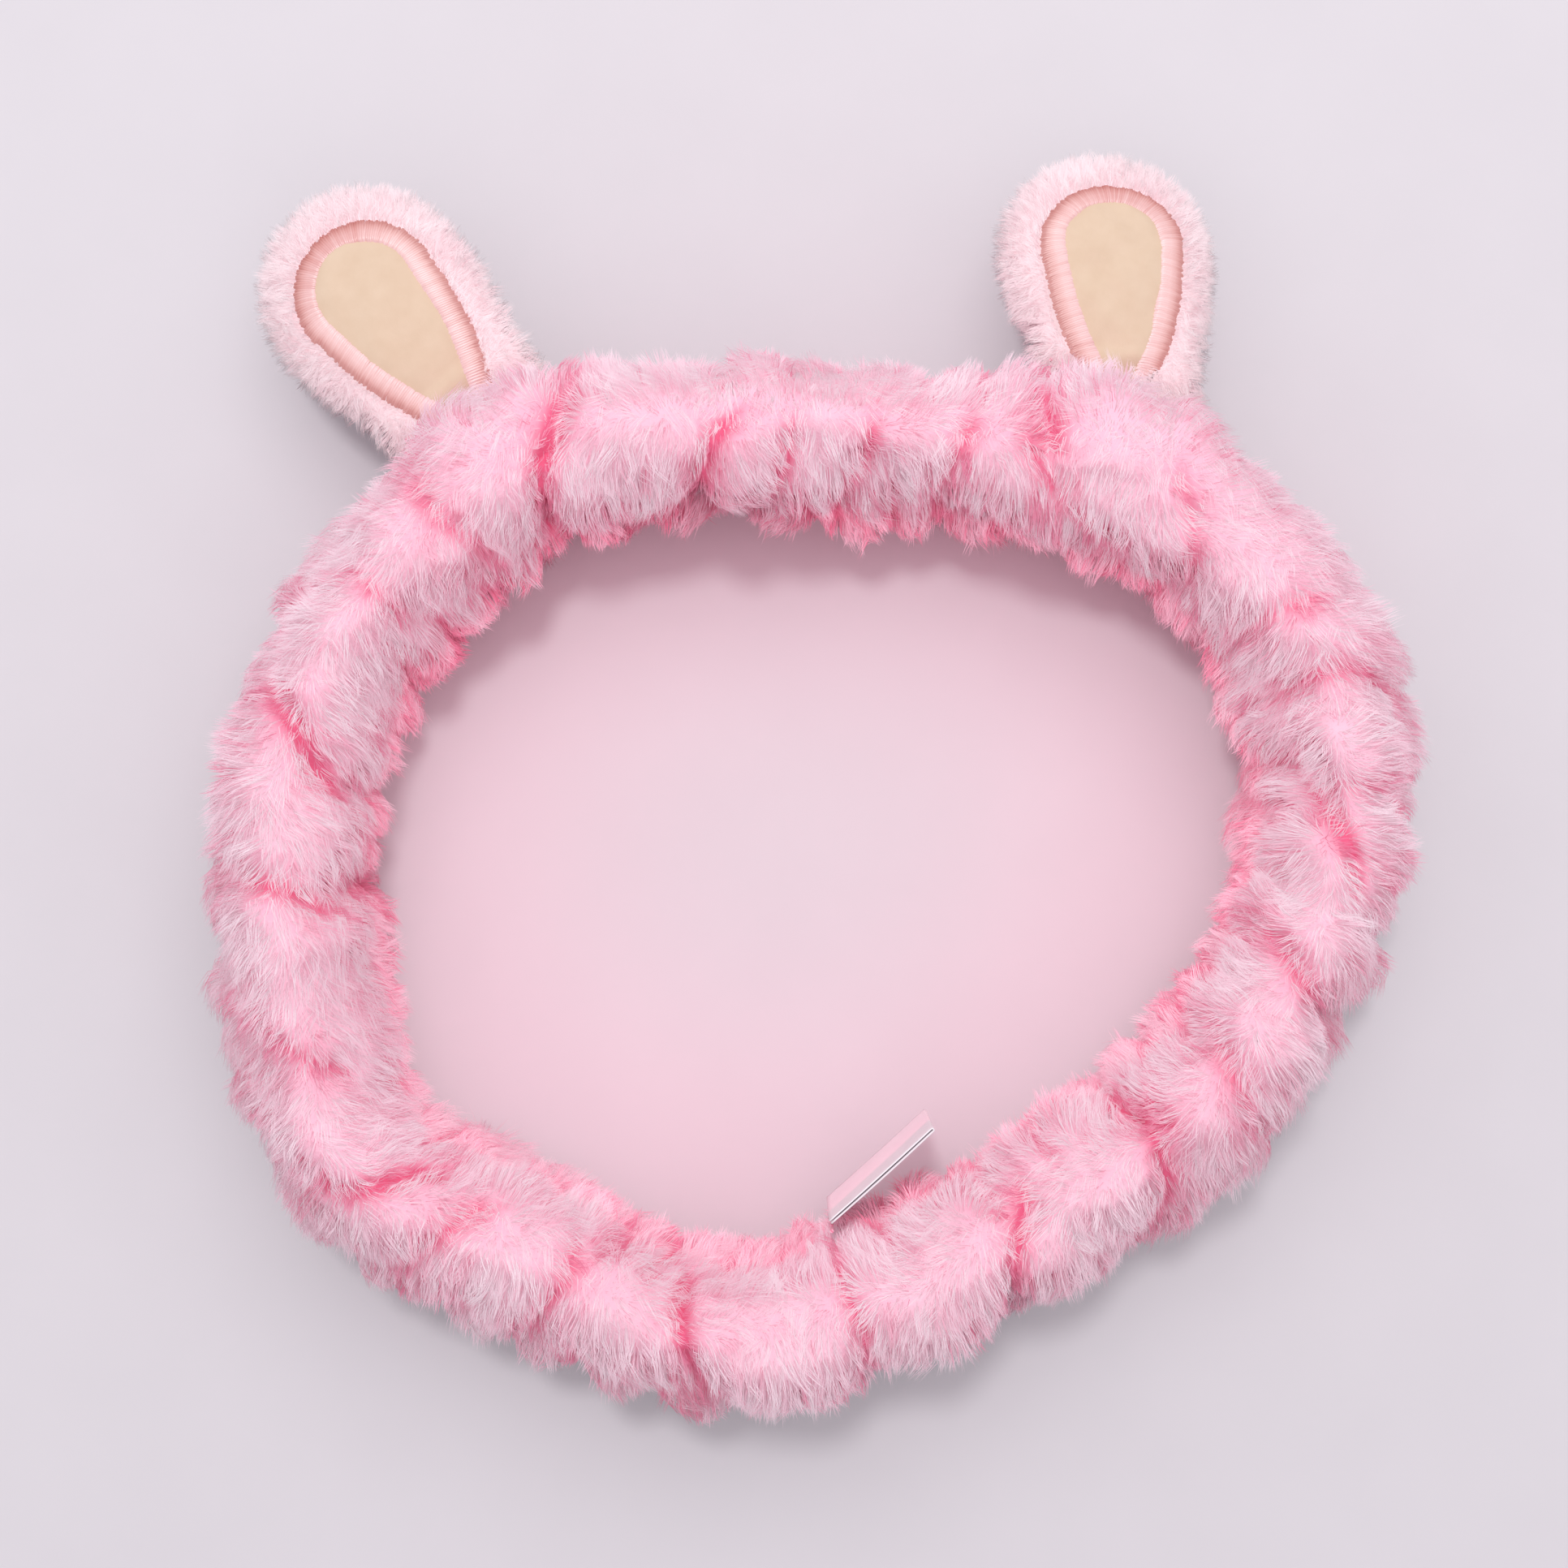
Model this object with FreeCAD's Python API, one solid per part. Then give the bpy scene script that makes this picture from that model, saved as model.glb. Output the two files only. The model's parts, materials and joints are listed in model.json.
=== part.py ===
"""Plush animal ears headband, laid on its edge as a standing loop.

A gathered plush tube is closed into a loop round a ring of flat elastic. Two padded ears are sewn to
the outside of the loop, each with a velour inner ear held down by a satin-stitch border. A folded
care label is caught in the seam that closes the tube at the back.

Millimetres. +Z is up and square to the loop's plane, +Y points from the back of the loop to the ears,
and the origin is under the middle of the whole object, on the surface that it stands on.
"""

import FreeCAD
import Part
import math
import os

Vector = FreeCAD.Vector
UP = Vector(0, 0, 1)
ZERO = Vector(0, 0, 0)

# The loop's middle line as it lies relaxed, counter-clockwise from its right-hand side.
LOOP_POINTS = [
    (85, 9), (81, 34), (67, 53), (47, 65), (24, 70), (0, 71), (-21, 71), (-41, 68),
    (-59, 56), (-76, 37), (-84, 14), (-84, -15), (-75, -45), (-46, -63), (-17, -74),
    (8, -71), (33, -58), (58, -41), (77, -16),
]

# The tube: an upright oval that stands on its lower edge, pile included.
TUBE_HALF_WIDTH = 15.5
TUBE_HALF_HEIGHT = 26.5
TUBE_CENTRE_HEIGHT = 25.0
COVER_THICKNESS = 8.5
HALVES_GAP = 0.3
HALF_OVERRUN = 9.0
SECTIONS_PER_HALF = 24

# The flat elastic inside the tube, lapped and sewn at the back.
ELASTIC_HEIGHT = 28.0
ELASTIC_THICKNESS = 1.2
LAP_LENGTH = 15.0
LAP_CLEARANCE = 0.1
LAP_EASE = 25.0

# Sewing thread.
THREAD_RADIUS = 0.3
SEAM_STITCH = 3.2
SEAM_PITCH = 4.6
SEAM_CLEARANCE = 0.9
CLOSING_STITCHES = 16
LAP_STITCHES = 7
LAP_STITCH_SLANT = 2.0
THREAD_CLEARANCE = 0.05

# The ears: length from the seam to the far tip, pile included.
EAR_LENGTH = 42.0
EAR_HALF_WIDTH = 19.0
EAR_HALF_THICKNESS = 9.0
EAR_WIDEST_AT = 22.0
EAR_BASE_HALF_WIDTH = 12.5
EAR_BASE_HALF_THICKNESS = 2.2
EAR_HEIGHT = 25.0
EAR_STANDOFF = 3.0
EAR_FAN_LENGTH = 18.0
EAR_LAST_ANGLE = 84.0

# Nested surfaces of an ear, each as (share of the outer thickness, inset of the outline).
PATCH_TOP = (0.84, 1.2)
FABRIC_SURFACE = (0.68, 2.4)
FABRIC_INSIDE = (0.5, 5.5)

# The inner ear patch and the satin-stitch border round it, measured from the ear's base seam.
PATCH_RADIUS = 7.6
PATCH_TOP_AT = 28.5
PATCH_FOOT_AT = 4.0
PATCH_FOOT_HALF_WIDTH = 2.0
BORDER_WIDTH = 4.0

# Stitches that join an ear's two panels, and that hold its base to the tube.
EDGE_STITCHES = 20
EDGE_STITCH_INSET = 3.6
EDGE_STITCH_HEIGHT = 2.6
BASE_STITCHES = 6
ALLOWANCE_HALF_THICKNESS = 0.8
ALLOWANCE_SINK = 0.8
ROLL_RADIUS = 2.1
ROLL_CLEARANCE = 0.5

# Each ear: its name, the X of its place on the loop, the turn of its axis from +Y, and its droop.
EARS = [
    ("left", -49.0, 41.0, 10.0),
    ("right", 44.0, 3.0, 17.0),
]

# The care label: a ribbon folded in two, sewn by its ends into the closing seam.
LABEL_X = 8.0
LABEL_LENGTH = 22.0
LABEL_WIDTH = 26.0
LABEL_BOTTOM = 15.0
LABEL_PLY = 0.35
LABEL_FOLD_GAP = 0.7
LABEL_STANDOFF = 1.6
LABEL_TURN_DEG = 42.0
LABEL_STITCHES = 5


def make_route():
    """The loop's middle line as one closed smooth edge at height zero."""
    curve = Part.BSplineCurve()
    curve.interpolate(Points=[Vector(x, y, 0) for x, y in LOOP_POINTS], PeriodicFlag=True)
    return curve.toShape()


ROUTE = make_route()


def station(distance):
    """Point, direction and outward side of the loop at a distance along it."""
    parameter = ROUTE.getParameterByLength(distance % ROUTE.Length)
    point = ROUTE.valueAt(parameter)
    along = ROUTE.tangentAt(parameter)
    outward = Vector(along.y, -along.x, 0)
    return point, along, outward


def distance_at_x(x, front):
    """How far along the loop its front or back half crosses a given X."""
    steps = 2000
    found = []
    for i in range(steps):
        distance = ROUTE.Length * i / steps
        point = station(distance)[0]
        if (point.y > 0) == front:
            found.append((abs(point.x - x), distance))
    return min(found)[1]


def left_crossing():
    """How far along the loop its left side crosses the line between the two halves."""
    steps = 2000
    found = []
    for i in range(steps):
        distance = ROUTE.Length * i / steps
        point = station(distance)[0]
        if point.x < 0:
            found.append((abs(point.y - LOOP_POINTS[0][1]), distance))
    return min(found)[1]


LEFT_CROSSING = left_crossing()
HALF_SPANS = {
    "front": (-HALF_OVERRUN, LEFT_CROSSING + HALF_OVERRUN),
    "rear": (LEFT_CROSSING - HALF_OVERRUN, ROUTE.Length + HALF_OVERRUN),
}


def oval(centre, side, half_width, top, half_height):
    """Closed oval wire with its two half-axes along side and top."""
    if half_height > half_width:
        ends = (centre + top * half_height, centre + side * half_width)
    else:
        ends = (centre + side * half_width, centre + top * half_height)
    return Part.Wire([Part.Ellipse(ends[0], ends[1], centre).toShape()])


def tube_span(span, inset):
    """Solid oval tube along one stretch of the loop."""
    wires = []
    for i in range(SECTIONS_PER_HALF):
        distance = span[0] + (span[1] - span[0]) * i / (SECTIONS_PER_HALF - 1)
        point, along, outward = station(distance)
        centre = point + UP * TUBE_CENTRE_HEIGHT
        wires.append(oval(centre, outward, TUBE_HALF_WIDTH - inset, UP, TUBE_HALF_HEIGHT - inset))
    return Part.makeLoft(wires, True, False)


def ribbon_span(span, offset, sections):
    """Upright flat elastic along one stretch of the loop.

    offset gives how far outwards of the loop's middle line it lies, at a distance along the loop.
    """
    wires = []
    low = UP * (TUBE_CENTRE_HEIGHT - ELASTIC_HEIGHT / 2)
    rise = UP * ELASTIC_HEIGHT
    for i in range(sections):
        distance = span[0] + (span[1] - span[0]) * i / (sections - 1)
        point, along, outward = station(distance)
        inner = point + outward * (offset(distance) - ELASTIC_THICKNESS / 2) + low
        outer = point + outward * (offset(distance) + ELASTIC_THICKNESS / 2) + low
        wires.append(Part.makePolygon([inner, outer, outer + rise, inner + rise, inner]))
    return Part.makeLoft(wires, True, False)


def half_space(half):
    """Everything on one side of the line between the loop's two halves, above the surface."""
    reach = 300.0
    edge = LOOP_POINTS[0][1]
    if half == "front":
        low_y = edge + HALVES_GAP / 2
    else:
        low_y = edge - HALVES_GAP / 2 - reach
    return Part.makeBox(2 * reach, reach, reach, Vector(-reach, low_y, 0))


def make_cover(half):
    """One half of the plush tube, hollow, with its underside pressed flat where it stands."""
    keep = half_space(half)
    outer = tube_span(HALF_SPANS[half], 0).common(keep)
    hollow = tube_span(HALF_SPANS[half], COVER_THICKNESS).common(keep)
    return outer.cut(hollow)


def make_elastics():
    """The elastic ring: its front half, and the two rear ends that lap at the back."""
    middle = distance_at_x(LABEL_X, front=False)
    lap_start = middle - LAP_LENGTH / 2
    lap_end = middle + LAP_LENGTH / 2

    def level(distance):
        return 0.0

    def lapped(distance):
        share = 1 - (distance - lap_end) / LAP_EASE
        share = min(1.0, max(0.0, share))
        return -(ELASTIC_THICKNESS + LAP_CLEARANCE) * share ** 2 * (3 - 2 * share)

    front = ribbon_span(HALF_SPANS["front"], level, 2 * SECTIONS_PER_HALF)
    left = ribbon_span((HALF_SPANS["rear"][0], lap_end), level, SECTIONS_PER_HALF)
    right = ribbon_span((lap_start, HALF_SPANS["rear"][1]), lapped, SECTIONS_PER_HALF)
    return {
        "elastic_front": front.common(half_space("front")),
        "elastic_rear_left": left.common(half_space("rear")),
        "elastic_rear_right": right.common(half_space("rear")),
    }


def thread(start, end):
    """One straight stitch."""
    run = end - start
    return Part.makeCylinder(THREAD_RADIUS, run.Length, start, run)


def make_tube_seam(half):
    """Running stitches of the tube's long seam, on the inside of its head-side wall."""
    offset = TUBE_HALF_WIDTH - COVER_THICKNESS - SEAM_CLEARANCE
    clear = HALF_OVERRUN + SEAM_STITCH
    first = HALF_SPANS[half][0] + clear
    count = int((HALF_SPANS[half][1] - clear - first - SEAM_STITCH) / SEAM_PITCH)
    stitches = []
    for i in range(count + 1):
        ends = []
        for distance in (first + i * SEAM_PITCH, first + i * SEAM_PITCH + SEAM_STITCH):
            point, along, outward = station(distance)
            ends.append(point - outward * offset + UP * TUBE_CENTRE_HEIGHT)
        stitches.append(thread(ends[0], ends[1]))
    return Part.makeCompound(stitches)


def make_closing_seam():
    """Ring of stitches that closes the tube's two ends together at the back."""
    point, along, outward = station(distance_at_x(LABEL_X, front=False))
    centre = point + UP * TUBE_CENTRE_HEIGHT
    half_width = TUBE_HALF_WIDTH - COVER_THICKNESS - SEAM_CLEARANCE
    half_height = TUBE_HALF_HEIGHT - COVER_THICKNESS - SEAM_CLEARANCE
    stitches = []
    for i in range(CLOSING_STITCHES):
        ends = []
        for part in (0.15, 0.85):
            angle = 2 * math.pi * (i + part) / CLOSING_STITCHES
            side = outward * (half_width * math.cos(angle))
            rise = UP * (half_height * math.sin(angle))
            ends.append(centre + side + rise)
        stitches.append(thread(ends[0], ends[1]))
    return Part.makeCompound(stitches)


def make_lap_stitches():
    """Zigzag stitches across the lap of the elastic, on its head-side face."""
    middle = distance_at_x(LABEL_X, front=False)
    offset = 1.5 * ELASTIC_THICKNESS + LAP_CLEARANCE + THREAD_RADIUS + THREAD_CLEARANCE
    step = ELASTIC_HEIGHT / (LAP_STITCHES + 1)
    low = TUBE_CENTRE_HEIGHT - ELASTIC_HEIGHT / 2
    stitches = []
    for i in range(LAP_STITCHES):
        lean = LAP_STITCH_SLANT if i % 2 else -LAP_STITCH_SLANT
        ends = []
        for distance, height in (
            (middle - lean, low + step * (i + 0.6)),
            (middle + lean, low + step * (i + 1.4)),
        ):
            point, along, outward = station(distance)
            ends.append(point - outward * offset + UP * height)
        stitches.append(thread(ends[0], ends[1]))
    return Part.makeCompound(stitches)


def ear_section_sizes(v):
    """Half-width and half-thickness of an ear at a distance from its base seam."""
    if v < EAR_WIDEST_AT:
        rest = 1 - v / EAR_WIDEST_AT
        width = EAR_HALF_WIDTH - (EAR_HALF_WIDTH - EAR_BASE_HALF_WIDTH) * rest ** 2
        thickness = EAR_HALF_THICKNESS - (EAR_HALF_THICKNESS - EAR_BASE_HALF_THICKNESS) * rest ** 2
        return width, thickness
    share = (v - EAR_WIDEST_AT) / (EAR_LENGTH - EAR_WIDEST_AT)
    rounding = math.sqrt(max(0.0, 1 - share ** 2))
    return EAR_HALF_WIDTH * rounding, EAR_HALF_THICKNESS * rounding


def ear_outside(skew):
    """The outer shape of an ear in its own frame: base seam at Y 0, tip along +Y.

    The sections fan round near the base, so that the first one lies along the tube's wall.
    """
    places = [i * EAR_WIDEST_AT / 6 for i in range(6)]
    for i in range(8):
        angle = math.radians(EAR_LAST_ANGLE * i / 7)
        places.append(EAR_WIDEST_AT + (EAR_LENGTH - EAR_WIDEST_AT) * math.sin(angle))
    wires = []
    for v in places:
        width, thickness = ear_section_sizes(v)
        turn = math.radians(skew) * max(0.0, 1 - v / EAR_FAN_LENGTH)
        side = Vector(math.cos(turn), math.sin(turn), 0)
        wires.append(oval(Vector(0, v, 0), side, width, UP, thickness))
    return Part.makeLoft(wires, True, False)


def nested(outside, layer):
    """A copy of an ear's outer shape, thinner and smaller all round, about its widest place."""
    thickness_share, inset = layer
    about = FreeCAD.Matrix()
    about.move(Vector(0, -EAR_WIDEST_AT, 0))
    shrink = FreeCAD.Matrix()
    shrink.scale(
        1 - inset / EAR_HALF_WIDTH,
        1 - inset / (EAR_LENGTH - EAR_WIDEST_AT),
        thickness_share,
    )
    back = FreeCAD.Matrix()
    back.move(Vector(0, EAR_WIDEST_AT, 0))
    return outside.transformGeometry(back.multiply(shrink).multiply(about))


def teardrop(grow):
    """Tall prism over the inner ear's outline, grown all round by a margin."""
    radius = PATCH_RADIUS + grow
    centre = PATCH_TOP_AT - PATCH_RADIUS
    foot = PATCH_FOOT_HALF_WIDTH + grow
    run = math.hypot(centre - PATCH_FOOT_AT, PATCH_RADIUS - PATCH_FOOT_HALF_WIDTH)
    tilt = math.asin((PATCH_RADIUS - PATCH_FOOT_HALF_WIDTH) / run)
    shoulder_x = radius * math.cos(tilt)
    shoulder_y = centre - radius * math.sin(tilt)
    right = Vector(shoulder_x, shoulder_y, 0)
    left = Vector(-shoulder_x, shoulder_y, 0)
    foot_right = Vector(foot, PATCH_FOOT_AT, 0)
    foot_left = Vector(-foot, PATCH_FOOT_AT, 0)
    edges = [
        Part.Arc(right, Vector(0, centre + radius, 0), left).toShape(),
        Part.LineSegment(left, foot_left).toShape(),
        Part.LineSegment(foot_left, foot_right).toShape(),
        Part.LineSegment(foot_right, right).toShape(),
    ]
    return Part.Face(Part.Wire(edges)).extrude(UP * 2 * EAR_HALF_THICKNESS)


def ear_box(front):
    """The half of an ear's space in front of, or behind, its middle plane."""
    size = 4 * EAR_LENGTH
    return Part.makeBox(size, size, size, Vector(-size / 2, -size / 2, 0 if front else -size))


def hinge_cylinder(skew, radius, length):
    """Cylinder about an ear's fold line, through the ear's own origin."""
    side = Vector(math.cos(math.radians(skew)), math.sin(math.radians(skew)), 0)
    return Part.makeCylinder(radius, length, side * (-length / 2), side)


def edge_stitches():
    """Stitches that pierce both panels, a little inside the ear's outline."""
    posts = []
    for i in range(EDGE_STITCHES):
        across = 2 * i / (EDGE_STITCHES - 1) - 1
        angle = across * math.radians(100)
        reach = EAR_HALF_WIDTH - EDGE_STITCH_INSET
        x = reach * math.sin(angle)
        y = EAR_WIDEST_AT + (EAR_LENGTH - EAR_WIDEST_AT - EDGE_STITCH_INSET) * math.cos(angle)
        foot = Vector(x, y, -EDGE_STITCH_HEIGHT / 2)
        posts.append(Part.makeCylinder(THREAD_RADIUS, EDGE_STITCH_HEIGHT, foot, UP))
    return Part.makeCompound(posts)


def make_ear(name, x, turn, droop):
    """All the pieces of one ear that turn together, the pieces that stay on the tube, and its hinge."""
    point, along, outward = station(distance_at_x(x, front=True))
    hinge_axis = Vector(-along.x, -along.y, 0)
    wall_turn = math.degrees(math.atan2(hinge_axis.y, hinge_axis.x))
    skew = wall_turn - turn
    hinge = point + outward * (TUBE_HALF_WIDTH + EAR_STANDOFF) + UP * EAR_HEIGHT

    pile = ear_outside(skew)
    patch_top = nested(pile, PATCH_TOP)
    fabric = nested(pile, FABRIC_SURFACE)
    core = nested(pile, FABRIC_INSIDE)
    patch_prism = teardrop(0)
    border_prism = teardrop(BORDER_WIDTH)
    socket = hinge_cylinder(skew, ROLL_RADIUS + ROLL_CLEARANCE, 2 * EAR_HALF_WIDTH)
    laid = patch_top.cut(fabric).common(ear_box(True)).cut(socket)
    shell = pile.cut(core).cut(socket)

    pieces = {
        "front_panel": shell.common(ear_box(True)).cut(border_prism.cut(fabric)),
        "back_panel": shell.common(ear_box(False)),
        "stuffing": core,
        "inner_patch": laid.common(patch_prism),
        "satin_border": laid.common(border_prism.cut(patch_prism)),
        "edge_stitches": edge_stitches(),
    }
    turned = {}
    for piece, shape in pieces.items():
        shape = shape.copy()
        shape.rotate(ZERO, UP, turn)
        shape.rotate(ZERO, hinge_axis, -droop)
        shape.translate(hinge)
        turned[name + "_ear_" + piece] = shape

    fixed = make_ear_base(name, point, hinge_axis, outward)
    return turned, fixed, hinge, hinge_axis


def make_ear_base(name, point, side, outward):
    """The rolled raw edge of an ear that is caught on the tube, and the stitches through it."""
    skew = math.degrees(math.atan2(side.y, side.x))
    reach = EAR_STANDOFF + ALLOWANCE_SINK
    tab = Part.makeBox(
        2 * EAR_BASE_HALF_WIDTH, reach, 2 * ALLOWANCE_HALF_THICKNESS,
        Vector(-EAR_BASE_HALF_WIDTH, -reach, -ALLOWANCE_HALF_THICKNESS))
    tab.rotate(ZERO, UP, skew)
    allowance = tab.fuse(hinge_cylinder(skew, ROLL_RADIUS, 2 * EAR_BASE_HALF_WIDTH))
    allowance.translate(point + outward * (TUBE_HALF_WIDTH + EAR_STANDOFF) + UP * EAR_HEIGHT)
    stitches = []
    for i in range(BASE_STITCHES):
        across = (2 * i / (BASE_STITCHES - 1) - 1) * (EAR_BASE_HALF_WIDTH - 2)
        foot = point + outward * (TUBE_HALF_WIDTH + THREAD_RADIUS) + side * across
        half = UP * (ALLOWANCE_HALF_THICKNESS + THREAD_RADIUS)
        foot = foot + UP * EAR_HEIGHT
        stitches.append(thread(foot - half, foot + half))
    return {
        name + "_ear_seam_allowance": allowance,
        name + "_ear_base_stitches": Part.makeCompound(stitches),
    }


def make_label():
    """The folded ribbon, its stitches at the closing seam, and the place where it turns."""
    point, along, outward = station(distance_at_x(LABEL_X, front=False))
    root = point - outward * (TUBE_HALF_WIDTH + LABEL_STANDOFF)
    ply = LABEL_PLY
    gap = LABEL_FOLD_GAP
    outer_radius = gap / 2 + ply
    straight = LABEL_LENGTH - outer_radius
    outer = Part.makeBox(straight, 2 * outer_radius, LABEL_WIDTH, Vector(0, -outer_radius, 0))
    outer = outer.fuse(Part.makeCylinder(outer_radius, LABEL_WIDTH, Vector(straight, 0, 0), UP))
    inner = Part.makeBox(straight, gap, LABEL_WIDTH, Vector(0, -gap / 2, 0))
    inner = inner.fuse(Part.makeCylinder(gap / 2, LABEL_WIDTH, Vector(straight, 0, 0), UP))
    label = outer.cut(inner)
    label.translate(Vector(THREAD_RADIUS + THREAD_CLEARANCE, 0, 0))
    label.rotate(ZERO, UP, LABEL_TURN_DEG)
    label.translate(root + UP * LABEL_BOTTOM)

    pitch = LABEL_WIDTH / LABEL_STITCHES
    foot = point - outward * (TUBE_HALF_WIDTH + THREAD_RADIUS / 2)
    stitches = []
    for i in range(LABEL_STITCHES):
        low = LABEL_BOTTOM + pitch * (i + 0.2)
        stitches.append(thread(foot + UP * low, foot + UP * (low + 0.6 * pitch)))
    return label, Part.makeCompound(stitches), root


def build():
    """Every piece of the headband by node name, and the places of its joints."""
    shapes = {}
    joints = {}
    for half in ("front", "rear"):
        shapes["cover_" + half] = make_cover(half)
        shapes["tube_seam_stitches_" + half] = make_tube_seam(half)
    shapes.update(make_elastics())
    shapes["closing_seam_stitches"] = make_closing_seam()
    shapes["elastic_lap_stitches"] = make_lap_stitches()
    for name, x, turn, droop in EARS:
        turned, fixed, hinge, axis = make_ear(name, x, turn, droop)
        shapes.update(turned)
        shapes.update(fixed)
        joints[name + "_ear"] = (hinge, axis)
    label, stitches, root = make_label()
    shapes["care_label"] = label
    shapes["care_label_stitches"] = stitches
    joints["care_label"] = (root, UP)
    return shapes, joints


shapes, joints = build()
box = Part.makeCompound(list(shapes.values())).optimalBoundingBox()
shift = Vector(-box.Center.x, -box.Center.y, 0)
os.makedirs("parts", exist_ok=True)
for node, shape in shapes.items():
    shape.translate(shift)
    shape.exportStep("parts/" + node + ".step")
    print(node, "valid", shape.isValid(), "solids", len(shape.Solids), "mm3", round(shape.Volume, 1))
for joint, (place, axis) in joints.items():
    place = place + shift
    print(joint, [round(c, 3) for c in place], [round(c, 5) for c in axis])
print("loop length", round(ROUTE.Length, 1), "size", box.XLength, box.YLength, box.ZLength)
print("loop centre at", shift.x, shift.y)
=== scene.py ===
"""Looks of a plush animal ears headband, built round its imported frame.

A gathered plush tube stands on its edge as a loop, with two padded ears laid outwards at its far
side and a folded care label at its near side. The pile is real fibres: each one is a closed,
tapered, bent spike. Metres, in the frame's own axes, with millimetres written as 3 * MM.
"""

import json
import math

import bpy
import numpy as np
from mathutils import Matrix, Vector
from mathutils.bvhtree import BVHTree
from mathutils.kdtree import KDTree


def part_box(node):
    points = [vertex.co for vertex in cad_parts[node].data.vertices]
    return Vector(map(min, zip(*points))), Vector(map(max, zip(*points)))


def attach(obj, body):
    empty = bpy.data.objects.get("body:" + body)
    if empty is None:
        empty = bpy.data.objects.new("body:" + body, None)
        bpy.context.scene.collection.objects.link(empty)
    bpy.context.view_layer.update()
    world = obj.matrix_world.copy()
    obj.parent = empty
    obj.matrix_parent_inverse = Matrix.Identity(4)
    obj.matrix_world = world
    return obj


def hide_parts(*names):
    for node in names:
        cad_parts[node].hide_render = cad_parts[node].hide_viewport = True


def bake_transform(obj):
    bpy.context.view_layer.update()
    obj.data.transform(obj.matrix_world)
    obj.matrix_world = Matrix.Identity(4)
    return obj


MM = 0.001

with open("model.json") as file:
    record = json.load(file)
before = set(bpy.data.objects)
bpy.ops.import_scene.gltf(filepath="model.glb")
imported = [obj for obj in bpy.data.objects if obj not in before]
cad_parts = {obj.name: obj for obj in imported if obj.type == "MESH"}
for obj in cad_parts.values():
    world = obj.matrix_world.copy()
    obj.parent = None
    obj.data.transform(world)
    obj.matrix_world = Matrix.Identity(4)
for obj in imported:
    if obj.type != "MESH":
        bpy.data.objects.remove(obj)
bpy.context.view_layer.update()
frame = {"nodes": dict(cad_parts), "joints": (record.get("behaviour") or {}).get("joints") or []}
joints = {joint["name"]: joint for joint in frame["joints"]}

# The camera: straight above the head opening, with the ears at the top of the picture.
CAMERA_PLACE = (-4.9 * MM, -2.3 * MM, 500 * MM)
CAMERA_LENS = 66.5

# The tube's woven backing, which the pile stands on.
BACKING_DEPTH = 4.6 * MM
BACKING_RINGS = 320
SPLIT_PAST_CENTRE = 9 * MM
BACKING_COLUMNS = 68
UNDERSIDE_HEIGHT = 2.6 * MM
PUFF_PRESSURE = 4.0
PUFF_CAP = 3.0 * MM
PUFF_FRAMES = 20

# Creases seen from above: two ends in millimetres from the loop's middle, depth and half-width.
CREASES = [
    ((-41, 77), (-40, 52), 5.5, 1.7),
    ((-15, 68), (-23, 53), 4.5, 1.6),
    ((-5, 65), (-11, 53), 4.0, 1.5),
    ((7, 66), (4, 54), 3.8, 1.5),
    ((23, 70), (18, 54), 3.0, 2.0),
    ((38, 78), (39, 75), 6.0, 1.6),
    ((35, 66), (44, 50), 3.2, 2.2),
    ((60, 60), (57, 44), 2.6, 2.0),
    ((76, 44), (66, 36), 2.6, 2.0),
    ((-62, 62), (-50, 47), 2.8, 2.2),
    ((-70, 46), (-58, 38), 2.6, 2.0),
    ((-90, 33), (-75, 17), 5.5, 1.8),
    ((-99, 5), (-78, -4), 3.6, 1.8),
    ((-95, -22), (-75, -28), 3.2, 1.8),
    ((-90, -44), (-60, -45), 4.6, 1.7),
    ((-68, -62), (-52, -52), 3.2, 2.0),
    ((-46, -75), (-38, -58), 3.0, 2.0),
    ((-20, -82), (-19, -61), 4.6, 1.6),
    ((8, -88), (4, -60), 3.4, 1.5),
    ((31, -76), (30, -50), 4.4, 1.6),
    ((55, -63), (53, -35), 4.0, 1.7),
    ((50, -35), (46, -32), 6.0, 2.0),
    ((69, -38), (64, -26), 3.0, 2.0),
    ((86, -25), (70, -9), 3.8, 1.8),
    ((84, 3), (75, 17), 4.2, 1.8),
    ((99, 10), (86, 14), 2.6, 2.0),
    ((93, 32), (72, 30), 3.2, 1.9),
]
CREASE_FADE = 7.0
FOLD_DEPTH = 3.4 * MM
SIDE_CREASES = 92
LOBE_SIZE = 17 * MM
LOBE_HEIGHT = 1.7 * MM
TUFT_SIZE = 6 * MM
TUFT_HEIGHT = 0.6 * MM
BROWS = [
    ((-52, 66), 16, 6), ((-70, 54), 10, 3), ((38, 72), 9, 4), ((50, 66), 9, 4.5), ((62, 60), 9, 5)]

# The band's pile.
PILE_LENGTH = 6.4 * MM
PILE_RADIUS = 0.072 * MM
PILE_STRANDS = 200000
PILE_PIECES = 12
PILE_AREA = 65000
CLUMP_SPACING = 1.8
PILE_STROKE = (0.1, -0.6, -0.5)
PILE_LEAN = 1.05
PARTING = 0.3
# Painted shade: how much deeper pink the band's fibres are painted where they face away from the
# key light.
PILE_SHADE = 0.28
FIBRE_ROUNDNESS = 1.2
FIBRE_GLOW = 1.1

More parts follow.
